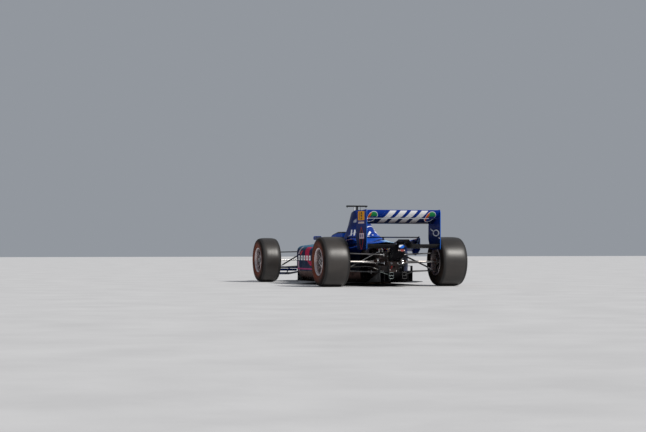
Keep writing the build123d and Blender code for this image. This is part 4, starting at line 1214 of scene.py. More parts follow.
def make_sidepods():
    """Undercut pods with a rolled lip round the inlet and a duct back to the radiator."""
    form = Form()
    start = POD_FRONT_Y + 0.022
    chains = [(y, pod_chain(y)) for y in spread(start, POD_REAR_Y, 64)]
    form.grid(shell_rows(chains, SKIN), around=True, ends=True)
    outer = even([Vector((0.2625, FLOOR_TOP + GAP))] + pod_chain(start), POD_POINTS)
    corners = [(0.300, 0.205), (0.650, 0.215), (0.650, 0.500), (0.300, 0.515)]
    inlet = lined_up(even(rounded_loop(corners, 0.050, 8), POD_POINTS), outer)
    corners = [(0.300, 0.058), (0.560, 0.058), (0.560, 0.500), (0.300, 0.500)]
    back = lined_up(even(corners, POD_POINTS), inlet)
    lip = [at_y(outer, start)]
    lip += [at_y(blend_loops(outer, inlet, share), POD_FRONT_Y + dy) for share, dy in
            ((0.03, 0.013), (0.10, 0.006), (0.25, 0.0015), (0.5, 0.0), (0.75, 0.0), (0.88, 0.002),
             (0.96, 0.007), (1.0, 0.016))]
    lip.append(at_y(inlet, POD_FRONT_Y + 0.030))
    duct = [at_y(blend_loops(inlet, back, share), POD_FRONT_Y + 0.030 + 0.198 * share)
            for share in (0.12, 0.4, 0.75, 1.0)]
    form.grid(lip, around=True)
    form.grid(lip[-1:] + duct, around=True, paint=1)
    for half, name in ((form, "left"), (form.flipped(), "right")):
        pod = piece("pod_" + name, half, "painted_blue", POD, MATTE, sharp=40)
        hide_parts("sidepod_" + name)


def cover_half(y):
    """The spine's left side from the seam up to the middle, at one place."""
    seam_x, seam_z, hump_x, hump_z, top_x, top_z = eased(BODY_ROWS, y)[4:]
    return [(seam_x, seam_z), (hump_x, hump_z), (top_x, top_z), (0, top_z + 0.004)]


def make_engine_cover():
    """The spine that falls from the air box to the tail's flat deck."""
    chains = []
    for y in spread(BULKHEAD_Y + GAP, TAIL_Y, 64):
        left = softened(cover_half(y), (0.110, 0.040), 9)
        chains.append((y, left + [Vector((-p.x, p.y)) for p in reversed(left[:-1])]))
    form = Form().grid(shell_rows(chains, SKIN), around=True, ends=True)
    cover = piece("spine_cover", form, "painted_blue", BLUE, sharp=40)
    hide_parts("engine_cover")


def airbox_loop(y):
    share = (y - AIRBOX_LOW.y) / (AIRBOX_HIGH.y - AIRBOX_LOW.y)
    base, waist, top = 0.178 + 0.040 * share, 0.125 + 0.025 * share, 1.020 + 0.015 * share
    half = [(0, TUB_TOP + GAP), (base, TUB_TOP + GAP), (waist, 0.790), (0.075, top), (0, top)]
    return even(whole(softened(half, (0.012, 0.150, 0.050), 10)), AIRBOX_POINTS)


def make_airbox():
    """The roll hoop's fairing with the air intake's rounded mouth."""
    rows = [at_y(airbox_loop(y), y) for y in spread(TUB_REAR_Y, AIRBOX_FRONT_Y, 8)]
    front = airbox_loop(AIRBOX_FRONT_Y)
    half = [(0.0, 0.893), (0.048, 0.893), (0.064, 0.985), (0.045, 1.006), (0.0, 1.006)]
    mouth = even(whole(softened(half, (0.030, 0.030, 0.022))), AIRBOX_POINTS)
    for share, y in ((0.02, 0.384), (0.07, 0.377), (0.2, 0.3725), (0.5, 0.3705), (0.8, 0.3705),
                     (0.92, 0.373), (1.0, 0.381)):
        rows.append(at_y(blend_loops(front, mouth, share), y))
    form = Form().grid(rows, around=True)
    duct = [at_y(mouth, 0.381)]
    for y, scale in ((0.40, 0.97), (0.43, 0.95), (0.4695, 0.94)):
        duct.append([(p.x * scale, y, 0.95 + (p.y - 0.95) * scale) for p in mouth])
    form.grid(duct, around=True, paint=1)
    form.grid([at_y(airbox_loop(TUB_REAR_Y), TUB_REAR_Y), duct[-1]], around=True, paint=1)
    hoop = piece("air_box", form, "painted_blue", BLUE, MATTE, sharp=45)
    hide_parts("airbox")


def make_flip_ups():
    """Ramps that rise ahead of the rear wheels, each with a fence on its outer edge."""
    # y, inner x, inner z, outer x, outer z, and the fence's low z
    table = [(0.900, 0.430, 0.474, 0.646, 0.466, 0.440), (1.050, 0.350, 0.505, 0.634, 0.505, 0.405),
             (1.200, 0.270, 0.540, 0.608, 0.566, 0.425), (1.520, 0.212, 0.559, 0.528, 0.652, 0.482)]
    chains = []
    for y in spread(0.900, 1.520, 40):
        in_x, in_z, out_x, out_z, low_z = eased(table, y)
        chains.append((y, softened(((out_x, low_z), (out_x, out_z), (in_x, in_z)), (0.022,), 8)))
    form = Form().grid(shell_rows(chains, SKIN), around=True, ends=True).mirrored()
    flips = piece("flip_up_ramps", form, "painted_blue", FLIP, FLIP_INNER_LIT, sharp=40)
    # The fences' inner faces and undersides take the pale azure painted light
    for polygon in flips.data.polygons:
        inward = -polygon.normal.x if polygon.center.x > 0 else polygon.normal.x
        if max(inward, -polygon.normal.z) > 0.5 and abs(polygon.center.x) > 0.45:
            polygon.material_index = 1
    soften_edges(flips, 0.0015, 50)
    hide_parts("flip_ups")


make_monocoque()
make_nose()
make_sidepods()
make_engine_cover()
make_airbox()
make_flip_ups()


# Wings

# Nose y, nose z, chord, thickness, camber, angle
FLAP = (2.166, 0.9018, 0.190, 0.019, 0.024, 31.0)
REAR_REACH = PLATE_HIGH.x - 0.010 - GAP
FRONT_PLATE_LOW, FRONT_PLATE_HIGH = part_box("front_wing_endplates")
FRONT_REACH = FRONT_PLATE_HIGH.x - 0.010 - GAP


def wing_form(sections, between=1):
    """A wing through foil sections, each (x, nose y, nose z, chord, thickness, camber, angle)."""
    rows = []
    for first, second in zip(sections, sections[1:]):
        for step in range(between):
            share = step / between
            mixed = [a + (b - a) * share for a, b in zip(first, second)]
            rows.append(foil(*mixed))
    rows.append(foil(*sections[-1]))
    return Form().grid(rows, around=True, ends=True)


def even_wing(x, section):
    """A wing of one section (nose y, nose z, chord, thickness, camber, angle) from -x to x."""
    return wing_form([(side * x, *section) for side in (-1, 1)])


def side_plate(form, x, outline, thick):
    """A plate that stands lengthwise at x, from an outline of (y, z) points."""
    return form.plate([(x, y, z) for y, z in outline], (thick, 0, 0))


def make_rear_wing():
    """The main plane, the flap with a lip on its tail, and the beam with a raised middle."""
    x = REAR_REACH
    flap = piece("upper_flap", even_wing(x, FLAP), "painted_blue", WING)
    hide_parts("rear_wing_flap")
    plane = piece("upper_plane", even_wing(x, (1.931, 0.852, 0.248, 0.032, 0.028, 8.5)),
                  "black_composite", WING)
    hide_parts("rear_wing_mainplane")
    y, z, chord, lift = FLAP[0], FLAP[1], FLAP[2], radians(FLAP[-1])
    tail_y, tail_z = y + chord * cos(lift), z + chord * sin(lift)
    edge = Form()
    edge.box((-x, tail_y - 0.0045, tail_z - 0.006), (x, tail_y - 0.0028, tail_z + 0.0005))
    piece("flap_lip", edge, "black_composite", CARBON)
    low, high, nose_y = 0.511, 0.573, 2.141
    rows = [(-x, low), (-0.120, low), (-0.068, high), (0.068, high), (0.120, low), (x, low)]
    section = (0.178, 0.021, 0.010, 15)
    sections = []
    for (x0, z0), (x1, z1) in zip(rows, rows[1:]):
        for step in range(8):
            share = step / 8
            rise = share * share * (3 - 2 * share)
            sections.append((x0 + (x1 - x0) * share, nose_y, z0 + (z1 - z0) * rise, *section))
    sections.append((x, nose_y, low, *section))
    beam = piece("beam_plane", wing_form(sections), "black_composite", CARBON)
    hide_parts("beam_wing")


def plate_outline():
    """The rear end plate's outline in (y, z), with a stepped front edge."""
    y0, y1 = PLATE_LOW.y, PLATE_HIGH.y
    z0, z1 = PLATE_LOW.z, PLATE_HIGH.z
    corners = [(y0 + 0.070, z0), (y1 - 0.004, z0), (y1, z0 + 0.12), (y1, z1 - 0.03), (y1 - 0.02, z1),
               (y0 + 0.045, z1 - 0.022), (y0 + 0.004, 0.80), (y0, 0.62)]
    return rounded_loop(corners, 0.022, 6)


def make_rear_plates():
    """The rear end plates with louvres, raised digits and screws."""
    form = side_plate(Form(), PLATE_HIGH.x - 0.0085, plate_outline(), 0.0065)
    for step in range(4):
        z = 0.945 - step * 0.020
        louvre = [(1.935, z), (1.990, z + 0.004), (1.990, z + 0.012), (1.935, z + 0.008)]
        side_plate(form, PLATE_HIGH.x - 0.0030, louvre, 0.0026)
    plates = piece("upper_end_plates", form.mirrored(), "painted_blue", PLATE, bevel=0.0015)
    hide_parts("rear_wing_endplates")
    digits = Form()
    x = PLATE_HIGH.x - 0.0020
    middle = 2.105
    # Bars of two plain digits: y and z of each bar's low corner, and its length and height
    for low_y, low_z, length, height in ((2.035, 0.880, 0.016, 0.090), (2.090, 0.880, 0.050, 0.015),
                                         (2.090, 0.918, 0.050, 0.015), (2.090, 0.955, 0.050, 0.015),
                                         (2.125, 0.880, 0.016, 0.090), (2.090, 0.925, 0.016, 0.040)):
        high_y, high_z = low_y + length, low_z + height
        digits.box((x, low_y, low_z), (x + 0.0012, high_y, high_z))
        digits.box((-x - 0.0012, 2 * middle - high_y, low_z), (-x, 2 * middle - low_y, high_z))
    piece("plate_digits", digits, "painted_blue", MATTE)
    fasteners = Form()
    for y, z in ((1.955, 0.875), (2.05, 0.868), (2.15, 0.868), (2.20, 0.93), (2.28, 0.975), (2.16, 0.535),
                 (2.29, 0.545)):
        fasteners.stud((PLATE_HIGH.x - 0.0022, y, z), (1, 0, 0), 0.0055, 0.0020, 16)
    piece("plate_screws", fasteners.mirrored(), "bare_metal", STEEL)


def make_winglets():
    """A low wing over the tail's deck, with small end plates and a middle post."""
    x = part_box("rear_winglets")[1].x - 0.002
    form = even_wing(x, (1.472, 0.6485, 0.086, 0.009, 0.004, 6))
    end = [(1.4705, 0.640), (1.500, 0.636), (1.558, 0.650), (1.558, 0.667), (1.4705, 0.655)]
    for side in (-1, 1):
        side_plate(form, side * x, end, -side * 0.002)
    side_plate(form, -0.004, [(1.492, 0.590), (1.540, 0.590), (1.538, 0.645), (1.490, 0.643)], 0.008)
    wing = piece("low_winglet", form, "painted_blue", CARBON, bevel=0.0008)
    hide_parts("rear_winglets")


def make_front_wing():
    """The main plane, arched in the middle under two pylons, and two flaps on each side."""
    x = FRONT_REACH
    half = [(0.0, -2.318, 0.142, 0.300, 0.025, 0.007, 2), (0.090, -2.318, 0.142, 0.300, 0.025, 0.007, 2),
            (0.180, -2.318, 0.124, 0.300, 0.025, 0.011, 3),
            (0.260, -2.316, 0.112, 0.300, 0.025, 0.014, 4),
            (0.450, -2.308, 0.112, 0.300, 0.025, 0.014, 4), (x, -2.298, 0.112, 0.298, 0.025, 0.014, 4)]
    form = wing_form([(-row[0], *row[1:]) for row in reversed(half[1:])] + half, 3)
    pylon = ((0.148, -2.235, -2.050), (0.175, -2.225, -2.045), (0.200, -2.215, -2.040),
             (0.235, -2.200, -2.034))
    for side in (-1, 1):
        form.grid(strut(side * 0.028, side * 0.0055, pylon, 16), around=True, ends=True)
    plane = piece("front_plane", form, "black_composite", WING_FRONT)
    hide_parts("front_wing_mainplane")
    form = Form()
    for rows in ([(0.190, -2.028, 0.157, 0.086, 0.010, 0.006, 20),
                  (x, -2.008, 0.162, 0.094, 0.010, 0.006, 22)],
                 [(0.190, -1.949, 0.193, 0.044, 0.006, 0.003, 34),
                  (x, -1.922, 0.205, 0.050, 0.006, 0.003, 36)]):
        form.add(wing_form(rows, 4))
    bracket = [(-2.075, 0.122), (-1.985, 0.158), (-1.900, 0.200), (-1.890, 0.222), (-1.985, 0.195),
               (-2.085, 0.140)]
    for place in (0.32, 0.50):
        side_plate(form, place - 0.002, bracket, 0.004)
    flaps = piece("front_flap_pair", form.mirrored(), "painted_blue", FLIP_FRONT)
    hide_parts("front_wing_flaps")


def make_front_plates():
    """Front end plates with a footplate along the low edge."""
    y0, y1 = FRONT_PLATE_LOW.y, FRONT_PLATE_HIGH.y
    z0, z1 = FRONT_PLATE_LOW.z, FRONT_PLATE_HIGH.z
    x = FRONT_PLATE_HIGH.x
    corners = [(y0, z0), (y1, z0), (y1, z1 - 0.05), (y1 - 0.03, z1), (-2.08, z1), (y0 + 0.08, 0.235),
               (y0, 0.185)]
    form = side_plate(Form(), x - 0.0085, rounded_loop(corners, 0.020, 6), 0.0065)
    corners = [(x - 0.060, y0 + 0.05), (x - 0.002, y0 + 0.01), (x - 0.002, y1 - 0.01),
               (x - 0.045, y1 - 0.01)]
    form.plate([(p.x, p.y, z0 + 0.001) for p in rounded_loop(corners, 0.012, 5)], (0, 0, 0.005))
    plates = piece("front_end_plates", form.mirrored(), "painted_blue", FLIP_FRONT, bevel=0.0015)
    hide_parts("front_wing_endplates")
    fasteners = Form()
    for y, z in ((-2.25, 0.112), (-2.12, 0.110), (-2.0, 0.155), (-1.90, 0.205), (-2.20, 0.075),
                 (-1.90, 0.075)):
        fasteners.stud((x - 0.0022, y, z), (1, 0, 0), 0.005, 0.0018, 16)
    piece("front_plate_screws", fasteners.mirrored(), "bare_metal", STEEL)


make_rear_wing()
make_rear_plates()
make_winglets()
make_front_wing()
make_front_plates()


# Suspension

FRONT_BALL_X = 0.775
REAR_BALL_X = 0.720
UPPER_Z = AXLE_Z + 0.115
LOWER_Z = AXLE_Z - 0.115
ROD_INSET = 0.135
ARM_CHORD = 0.016
ARM_HEIGHT = 0.008


def upright_ring(form, centre, outer, inner, low, high, paint=0):
    """An eye about an upright pin."""
    cx, cy, cz = centre
    rows = [[(cx + reach * cos(a), cy + reach * sin(a), cz + z) for a in turns(32)] for reach, z in
            ((inner, low), (outer - 0.0015, low), (outer, low + 0.0015), (outer, high - 0.0015),
             (outer - 0.0015, high), (inner, high), (inner, low))]
    form.grid(rows, around=True, paint=paint)


def arm_leg(form, outer, inner, start=0.030):
    """One leg of a suspension arm: a blade of oval section, narrowing to a round rod end in a fork."""
    outer, inner = Vector(outer), Vector(inner)
    ahead = (inner - outer).normalized()
    length = (inner - outer).length
    path = along(outer, ahead, start, start + 0.020, start + 0.060, length - 0.085, length - 0.055)
    high = ARM_HEIGHT - 0.0003
    form.tube(path, [0.0095, 0.0125, ARM_CHORD, ARM_CHORD, 0.0105], [0.0085, 0.0082, high, high, 0.0085],
              hint=(0, 1, 0), sides=20)
    root = length - 0.056
    form.tube(along(outer, ahead, root, root + 0.012), 0.0115, sides=6, paint=1)
    form.tube(along(outer, ahead, root + 0.011, root + 0.040), 0.0068, sides=14, paint=1)
    ball = outer + ahead * (root + 0.046)
    upright_ring(form, ball, 0.0145, 0.004, -0.0065, 0.0065, paint=1)
    for up in (-1, 1):
        tip = ball + Vector((0, 0, up * 0.0115))
        base = tip + Vector((-0.060 if outer.x > 0 else 0.060, 0, 0))
        across, wide = Vector((0, 0.012, 0)), Vector((0, 0.018, 0))
        form.plate([tip + across, tip - across, base - wide, base + wide], (0, 0, up * 0.0035), paint=2)
    form.stud(ball - Vector((0, 0, 0.019)), (0, 0, 1), 0.0058, 0.040, 6, paint=1)


def add_arms(form, x, y, upper, lower, pad):
    """The left arms from the ball joints at (x, y) to their inner pivots, with a pad for the push rod."""
    for height, pivots in ((UPPER_Z, upper), (LOWER_Z, lower)):
        for pivot in pivots:
            arm_leg(form, (x, y, height), pivot)
        upright_ring(form, (x, y, height), 0.0195, 0.0103, -0.0115, 0.0115)
        for pivot in pivots:
            aim = (Vector(pivot) - Vector((x, y, height))).normalized()
            form.tube(along((x, y, height), aim, 0.0185, 0.040), [0.0100, 0.0098], [0.0088, 0.0086],
                      hint=(0, 1, 0), sides=20)
    form.plate([(x - ROD_INSET + dx, y + dy, LOWER_Z - 0.0045) for dx, dy in pad], (0, 0, 0.0085))


def make_front_arms():
    upper = [(0.172, FRONT_Y - 0.150, 0.4546), (0.196, FRONT_Y + 0.240, 0.4546)]
    lower = [(0.150, FRONT_Y - 0.150, 0.2445), (0.168, FRONT_Y + 0.240, 0.2445)]
    pad = [(-0.016, -0.050), (0.016, -0.036), (0.016, 0.058), (-0.016, 0.078)]
    form = Form()
    add_arms(form, FRONT_BALL_X, FRONT_Y, upper, lower, pad)
    arms = piece("front_arms", form.mirrored(), "black_composite", ARM, BRIGHT, CAST)
    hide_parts("front_wishbones")


def make_rear_arms():
    """Rear arms and toe links."""
    upper = [(0.136, REAR_Y - 0.320, 0.4170), (0.112, REAR_Y + 0.120, 0.4185)]
    lower = [(0.140, REAR_Y - 0.320, 0.1880), (0.118, REAR_Y + 0.120, 0.1885)]
    pad = [(-0.016, -0.085), (0.016, -0.066), (0.016, 0.024), (-0.016, 0.031)]
    form = Form()
    add_arms(form, REAR_BALL_X, REAR_Y, upper, lower, pad)
    start = Vector((REAR_BALL_X - 0.022, REAR_Y + 0.1, AXLE_Z))
    arm_leg(form, start + Vector((0.03, 0, 0)), (0.105, REAR_Y + 0.1195, AXLE_Z - 0.020), start=0.026)
    # the rear arms take the paler satin of painted light
    arms = piece("rear_arms", form.mirrored(), "black_composite", REAR_ARM_SUNLIT, BRIGHT, CAST)
    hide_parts("rear_wishbones")


def add_rod(form, foot, head, radius):
    """A push rod with a threaded end and lock nut at both ends."""
    foot, head = Vector(foot), Vector(head)
    ahead = (head - foot).normalized()
    length = (head - foot).length
    form.tube(along(foot, ahead, 0.034, 0.046, length - 0.046, length - 0.034),
              [radius * 0.75, radius, radius, radius * 0.75], sides=18)
    for near in (0.014, length - 0.036):
        form.tube(along(foot, ahead, near, near + 0.022), radius * 0.55, paint=1)
    for near in (0.026, length - 0.034):
        form.tube(along(foot, ahead, near, near + 0.008), radius * 0.95, sides=6, paint=1)


def make_push_rods():
    """Push rods from a clevis on each lower arm up to the rockers."""
    form = Form()
    foot_z = LOWER_Z + 0.0052
    for x, y, head in ((FRONT_BALL_X - ROD_INSET, FRONT_Y, (0.178, FRONT_Y, 0.5015)),
                       (REAR_BALL_X - ROD_INSET, REAR_Y - 0.020, (0.118, REAR_Y - 0.080, 0.461))):
        for dy in (-0.011, 0.0075):
            form.plate([(x + dx, y + dy, foot_z + up) for dx, up in
                        ((-0.012, 0), (0.012, 0), (0.009, 0.028), (-0.009, 0.028))], (0, 0.0035, 0),
                       paint=1)
        form.stud((x, y - 0.013, foot_z + 0.018), (0, 1, 0), 0.0055, 0.026, 6, paint=1)
        eye = Vector((x, y, foot_z + 0.018))
        form.tube(along(eye, (0, 1, 0), -0.0065, 0.0065), 0.0105, sides=20, paint=1)
        add_rod(form, eye, head, 0.0105)
        if y > 0:
            form.tube(along(head, (0, 0, 1), -0.012, 0.0115), 0.0125, sides=20, paint=1)
        else:
            form.tube(along(head, (0, 1, 0), -0.009, 0.009), 0.0125, sides=20, paint=1)
            form.tube([(0.150, y, 0.510), (0.176, y, 0.503)], 0.016, sides=20, paint=1)
    rods = piece("thrust_rods", form.mirrored(), "black_composite", ARM, BRIGHT)
    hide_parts("pushrods")


def make_dampers():
    """Rockers with lightening holes' rims, and coil springs over their dampers along the casing's top."""
    low_z = 0.4733
    form = Form()
    corners = [(0.137, 1.700), (0.118, 1.708), (0.050, 1.678), (0.036, 1.600), (0.052, 1.590),
               (0.066, 1.604), (0.082, 1.640), (0.132, 1.680)]
    form.plate([(p.x, p.y, low_z) for p in rounded_loop(corners, 0.012, 6)], (0, 0, 0.009))
    for x, y, radius, high in ((0.062, 1.655, 0.017, 0.014), (0.118, 1.690, 0.012, 0.013),
                               (0.050, 1.604, 0.010, 0.012)):
        form.tube([(x, y, low_z + 0.0015), (x, y, low_z + high)], radius, sides=28, paint=1)
        form.stud((x, y, low_z + high - 0.001), (0, 0, 1), radius * 0.55, 0.007, 6, paint=1)
    form.tube([(0.062, 1.655, 0.445), (0.062, 1.655, low_z + 0.001)], 0.012, sides=20, paint=1)
    x, z = 0.050, 0.496
    front, rear = 1.410, 1.604
    form.tube([(x, front + 0.010, z), (x, rear - 0.058, z)], 0.0165, sides=28, paint=2)
    form.tube([(x, rear - 0.060, z), (x, rear - 0.008, z)], 0.0065, sides=18, paint=1)
    for y in (front + 0.022, rear - 0.066):
        form.tube([(x, y, z), (x, y + 0.0015, z), (x, y + 0.0055, z), (x, y + 0.007, z)],
                  [0.0255, 0.027, 0.027, 0.0255], sides=36, paint=3)
    coils, steps = 6.5, 130
    path = []
    for step in range(steps + 1):
        share = step / steps
        turn = 2 * pi * coils * share
        path.append((x + 0.0225 * cos(turn), front + 0.0315 + share * (rear - 0.0700 - front - 0.0315),
                     z + 0.0225 * sin(turn)))
    form.tube(path, 0.0035, sides=10, paint=4)
    for y in (front, rear):
        upright_ring(form, (x, y, z), 0.0115, 0.0045, -0.0115, 0.0105, paint=1)
        form.stud((x, y, 0.4845), (0, 0, 1), 0.0042, 0.0235, 6, paint=1)
    form.tube([(x, front + 0.004, z), (x, front + 0.014, z)], 0.008, sides=16, paint=1)
    form.tube([(0.078, front + 0.035, z + 0.008), (0.078, front + 0.120, z + 0.008)], 0.0115, sides=24,
              paint=2)
    form.tube([(0.064, front + 0.030, z + 0.004), (0.074, front + 0.036, z + 0.007)], 0.006, sides=12,
              paint=1)
    dampers = piece("coil_dampers", form.mirrored(), "cast_casing", CAST, BRIGHT, BRASS, ANODISED,
                    RED_FITTING, sharp=40)
    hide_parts("rear_dampers")


def add_scoop(form, x, y):
    """An open cooling scoop about x, from y backwards, with an inner wall."""
    z = AXLE_Z + 0.020
    section = [squared(turn, 0.5) for turn in turns(24)]
    for thin, low in ((1, 1), (0.86, 0.92)):
        rows = [[(x + wide * a * 0.8 * thin, y + dy, z + tall * b * low) for a, b in section]
                for dy, wide, tall in ((0, 0.022, 0.055), (0.004, 0.0235, 0.0565), (0.030, 0.021, 0.050),
                                       (0.080, 0.015, 0.040))]
        form.grid(rows, around=True, paint=3)


def make_upright_trim():
    """Brake lines and caliper bolts at each corner, and a cooling scoop at the rear ones."""
    for axle, side_name, side, centre, _ in WHEELS:
        body = "chassis" if axle == "rear" else "knuckle_" + side_name
        x = centre[0] + side * (-HUB_INSET[axle] + DISC_OUT)
        y = centre[1] + 0.106
        form = Form()
        for dz in (-0.024, 0.0, 0.024):
            form.stud((x - side * 0.0165, y, AXLE_Z + dz), (-side, 0, 0), 0.0062, 0.007, 6, paint=1)
        for dz in (-0.030, 0.030):
            form.stud((x - side * 0.0160, y - 0.027, AXLE_Z + dz), (-side, 0, 0), 0.0045, 0.010, 12,
                      paint=2)
        hose = [(x - side * inward, y + dy, AXLE_Z + dz) for inward, dy, dz in
                ((0.020, -0.020, 0.030), (0.034, -0.016, 0.052), (0.062, -0.040, 0.070),
                 (0.072, -0.062, 0.080))]
        form.tube(curve(hose, 8), 0.0030, sides=10)
        if axle == "rear":
            add_scoop(form, x - side * 0.034 - side * 0.006, centre[1] - 0.128)
        piece("corner_fittings_" + axle + "_" + side_name, form, "bare_metal", HOSE, BRIGHT, BRASS,
              CARBON, body=body)


make_front_arms()
make_rear_arms()
make_push_rods()
make_dampers()
make_upright_trim()


# Gearbox, crash structure, tail pipes and floor

CRASH_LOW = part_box("rear_crash_structure")[0]
LAMP_LOW, LAMP_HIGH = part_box("rain_light")
PIPE_LOW, PIPE_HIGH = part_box("exhaust_pipes")
# y, half-width, low z, high z
CASING_ROWS = [(1.0503, 0.130, 0.080, 0.430), (1.400, 0.122, 0.120, 0.430), (1.950, 0.082, 0.190, 0.470)]


def casing_side(y, up, out=0.0):
    """A point on the casing's left flank, from its place along the car and its share of the height."""
    index = 0 if y < CASING_ROWS[1][0] else 1
    first, second = CASING_ROWS[index], CASING_ROWS[index + 1]
    share = (y - first[0]) / (second[0] - first[0])
    half, low, high = [a + (b - a) * share for a, b in zip(first[1:], second[1:])]
    return Vector((half + out, y, low + (high - low) * up))


def add_cover(form, y, up, reach, thick, bolts):
    """A round cover bolted to the casing's flank."""
    at = casing_side(y, up, -0.002)
    profile = [(0.0, 0.001), (0.0, reach), (thick - 0.0015, reach), (thick, reach - 0.0015),
               (thick, reach * 0.55), (thick + 0.003, reach * 0.50), (thick + 0.003, 0.001)]
    form.turned(profile, at, 1, 40)
    ring_of = reach - 0.006
    for turn in turns(bolts):
        base = at + Vector((thick - 0.001, ring_of * cos(turn), ring_of * sin(turn)))
        form.stud(base, (1, 0, 0), 0.0036, 0.0048, 6, paint=1)


def make_casing_covers():
    """Bolted covers, the driveshafts' bosses, flange bolts and the arms' pads on the gearbox."""
    form = Form()
    for cover in ((1.21, 0.55, 0.052, 0.010, 8), (1.31, 0.30, 0.036, 0.009, 6),
                  (1.580, 0.62, 0.038, 0.009, 8), (1.690, 0.22, 0.030, 0.008, 6),
                  (1.885, 0.68, 0.027, 0.008, 6)):
        add_cover(form, *cover)
    boss = [(0.140, 0.046), (0.140, 0.060), (0.1485, 0.060), (0.1495, 0.058), (0.1495, 0.046)]
    form.turned(boss, (0, REAR_Y, AXLE_Z), 1, 48)
    for turn in turns(10):
        base = (0.1452, REAR_Y + 0.0535 * cos(turn), AXLE_Z + 0.0535 * sin(turn))
        form.stud(base, (1, 0, 0), 0.0036, 0.0040, 6, paint=1)
    for step in range(5):
        form.stud((0.086, 1.9375, 0.215 + step * 0.057), (0, -1, 0), 0.0048, 0.010, 6, paint=1)
        form.stud((0.130, 1.0633, 0.110 + step * 0.072), (0, 1, 0), 0.0055, 0.012, 6, paint=1)
    for x in (0.020, 0.060):
        form.stud((x, 1.9375, 0.4758), (0, -1, 0), 0.0048, 0.010, 6, paint=1)
    for y, z in ((1.450, 0.4170), (1.450, 0.1880), (1.890, 0.4185), (1.890, 0.1885)):
        x = casing_side(y, 0.5).x
        form.box((x - 0.012, y - 0.024, z - 0.022), (x + 0.008, y + 0.024, z + 0.022))
        for dy in (-0.017, 0.017):
            for dz in (0.015, -0.015):
                form.stud((x + 0.008, y + dy, z + dz), (1, 0, 0), 0.0042, 0.005, 6, paint=1)
    piece("casing_covers", form.mirrored(), "cast_casing", CAST, BRIGHT, bevel=0.0012)


def make_casing_pipes():
    """Four pipes over the casing, with a union and a collar at their ends."""
    form = Form()
    for radius, sides, paint, points in (
            (0.0080, 14, 0,
             [(0.135, 1.10, 0.36), (0.152, 1.18, 0.382), (0.150, 1.30, 0.386), (0.140, 1.42, 0.372),
                             (0.137, 1.50, 0.352), (0.120, 1.545, 0.345)]),
            (0.0095, 14, 0, [(-0.136, 1.09, 0.30), (-0.158, 1.17, 0.29), (-0.156, 1.29, 0.262),
                             (-0.146, 1.42, 0.255), (-0.134, 1.53, 0.268), (-0.116, 1.56, 0.278)]),
            (0.0065, 12, 0, [(-0.010, 1.30, 0.432), (-0.006, 1.36, 0.452), (0.004, 1.48, 0.452),
                             (0.008, 1.60, 0.458), (0.006, 1.70, 0.462), (0.0, 1.745, 0.456)]),
            (0.0042, 10, 2, [(0.018, 1.28, 0.432), (0.022, 1.36, 0.448), (0.016, 1.52, 0.450),
                             (0.020, 1.64, 0.458), (0.022, 1.80, 0.476), (0.028, 1.86, 0.466)])):
        form.tube(curve(points, 8), radius, sides=sides, paint=paint)
    for at, aim in (((0.120, 1.545, 0.345), (0.5, 0.8, -0.1)), ((0.135, 1.10, 0.36), (0.8, 0.5, 0.2)),
                    ((-0.116, 1.56, 0.278), (-0.5, 0.8, 0.2)), ((-0.136, 1.09, 0.30), (-0.8, 0.5, 0)),
                    ((0.0, 1.745, 0.456), (0, 0.6, -0.7)), ((-0.010, 1.30, 0.432), (0, -0.3, 1))):
        aim = Vector(aim).normalized()
        form.tube(along(at, aim, -0.010, 0.010), 0.0118, sides=6, paint=3)
        form.tube(along(at, aim, 0.010, 0.018), 0.0095, sides=16, paint=1)
    piece("casing_pipes", form, "black_composite", HOSE, ANODISED, STEEL, RED_FITTING)


def make_catch_tank():
    """A small upright tank beside the casing, held by two clamps."""
    x, y, z = centre = Vector((-0.178, 1.435, 0.262))
    form = Form().tube(along(centre, (0, 0, 1), 0, 0.004, 0.094, 0.102), [0.028, 0.032, 0.032, 0.020],
                       sides=36)
    form.tube(along(centre, (0, 0, 1), 0.101, 0.112), 0.011, sides=20, paint=1)
    for dz in (0.020, 0.076):
        form.tube(along(centre, (0, 0, 1), dz, dz + 0.010), 0.0332, sides=36, paint=1)
        form.box((x + 0.020, y - 0.006, z + dz), (-0.118, y + 0.006, z + dz + 0.010), paint=1)
    piece("catch_tank", form, "bare_metal", STEEL, BRIGHT)


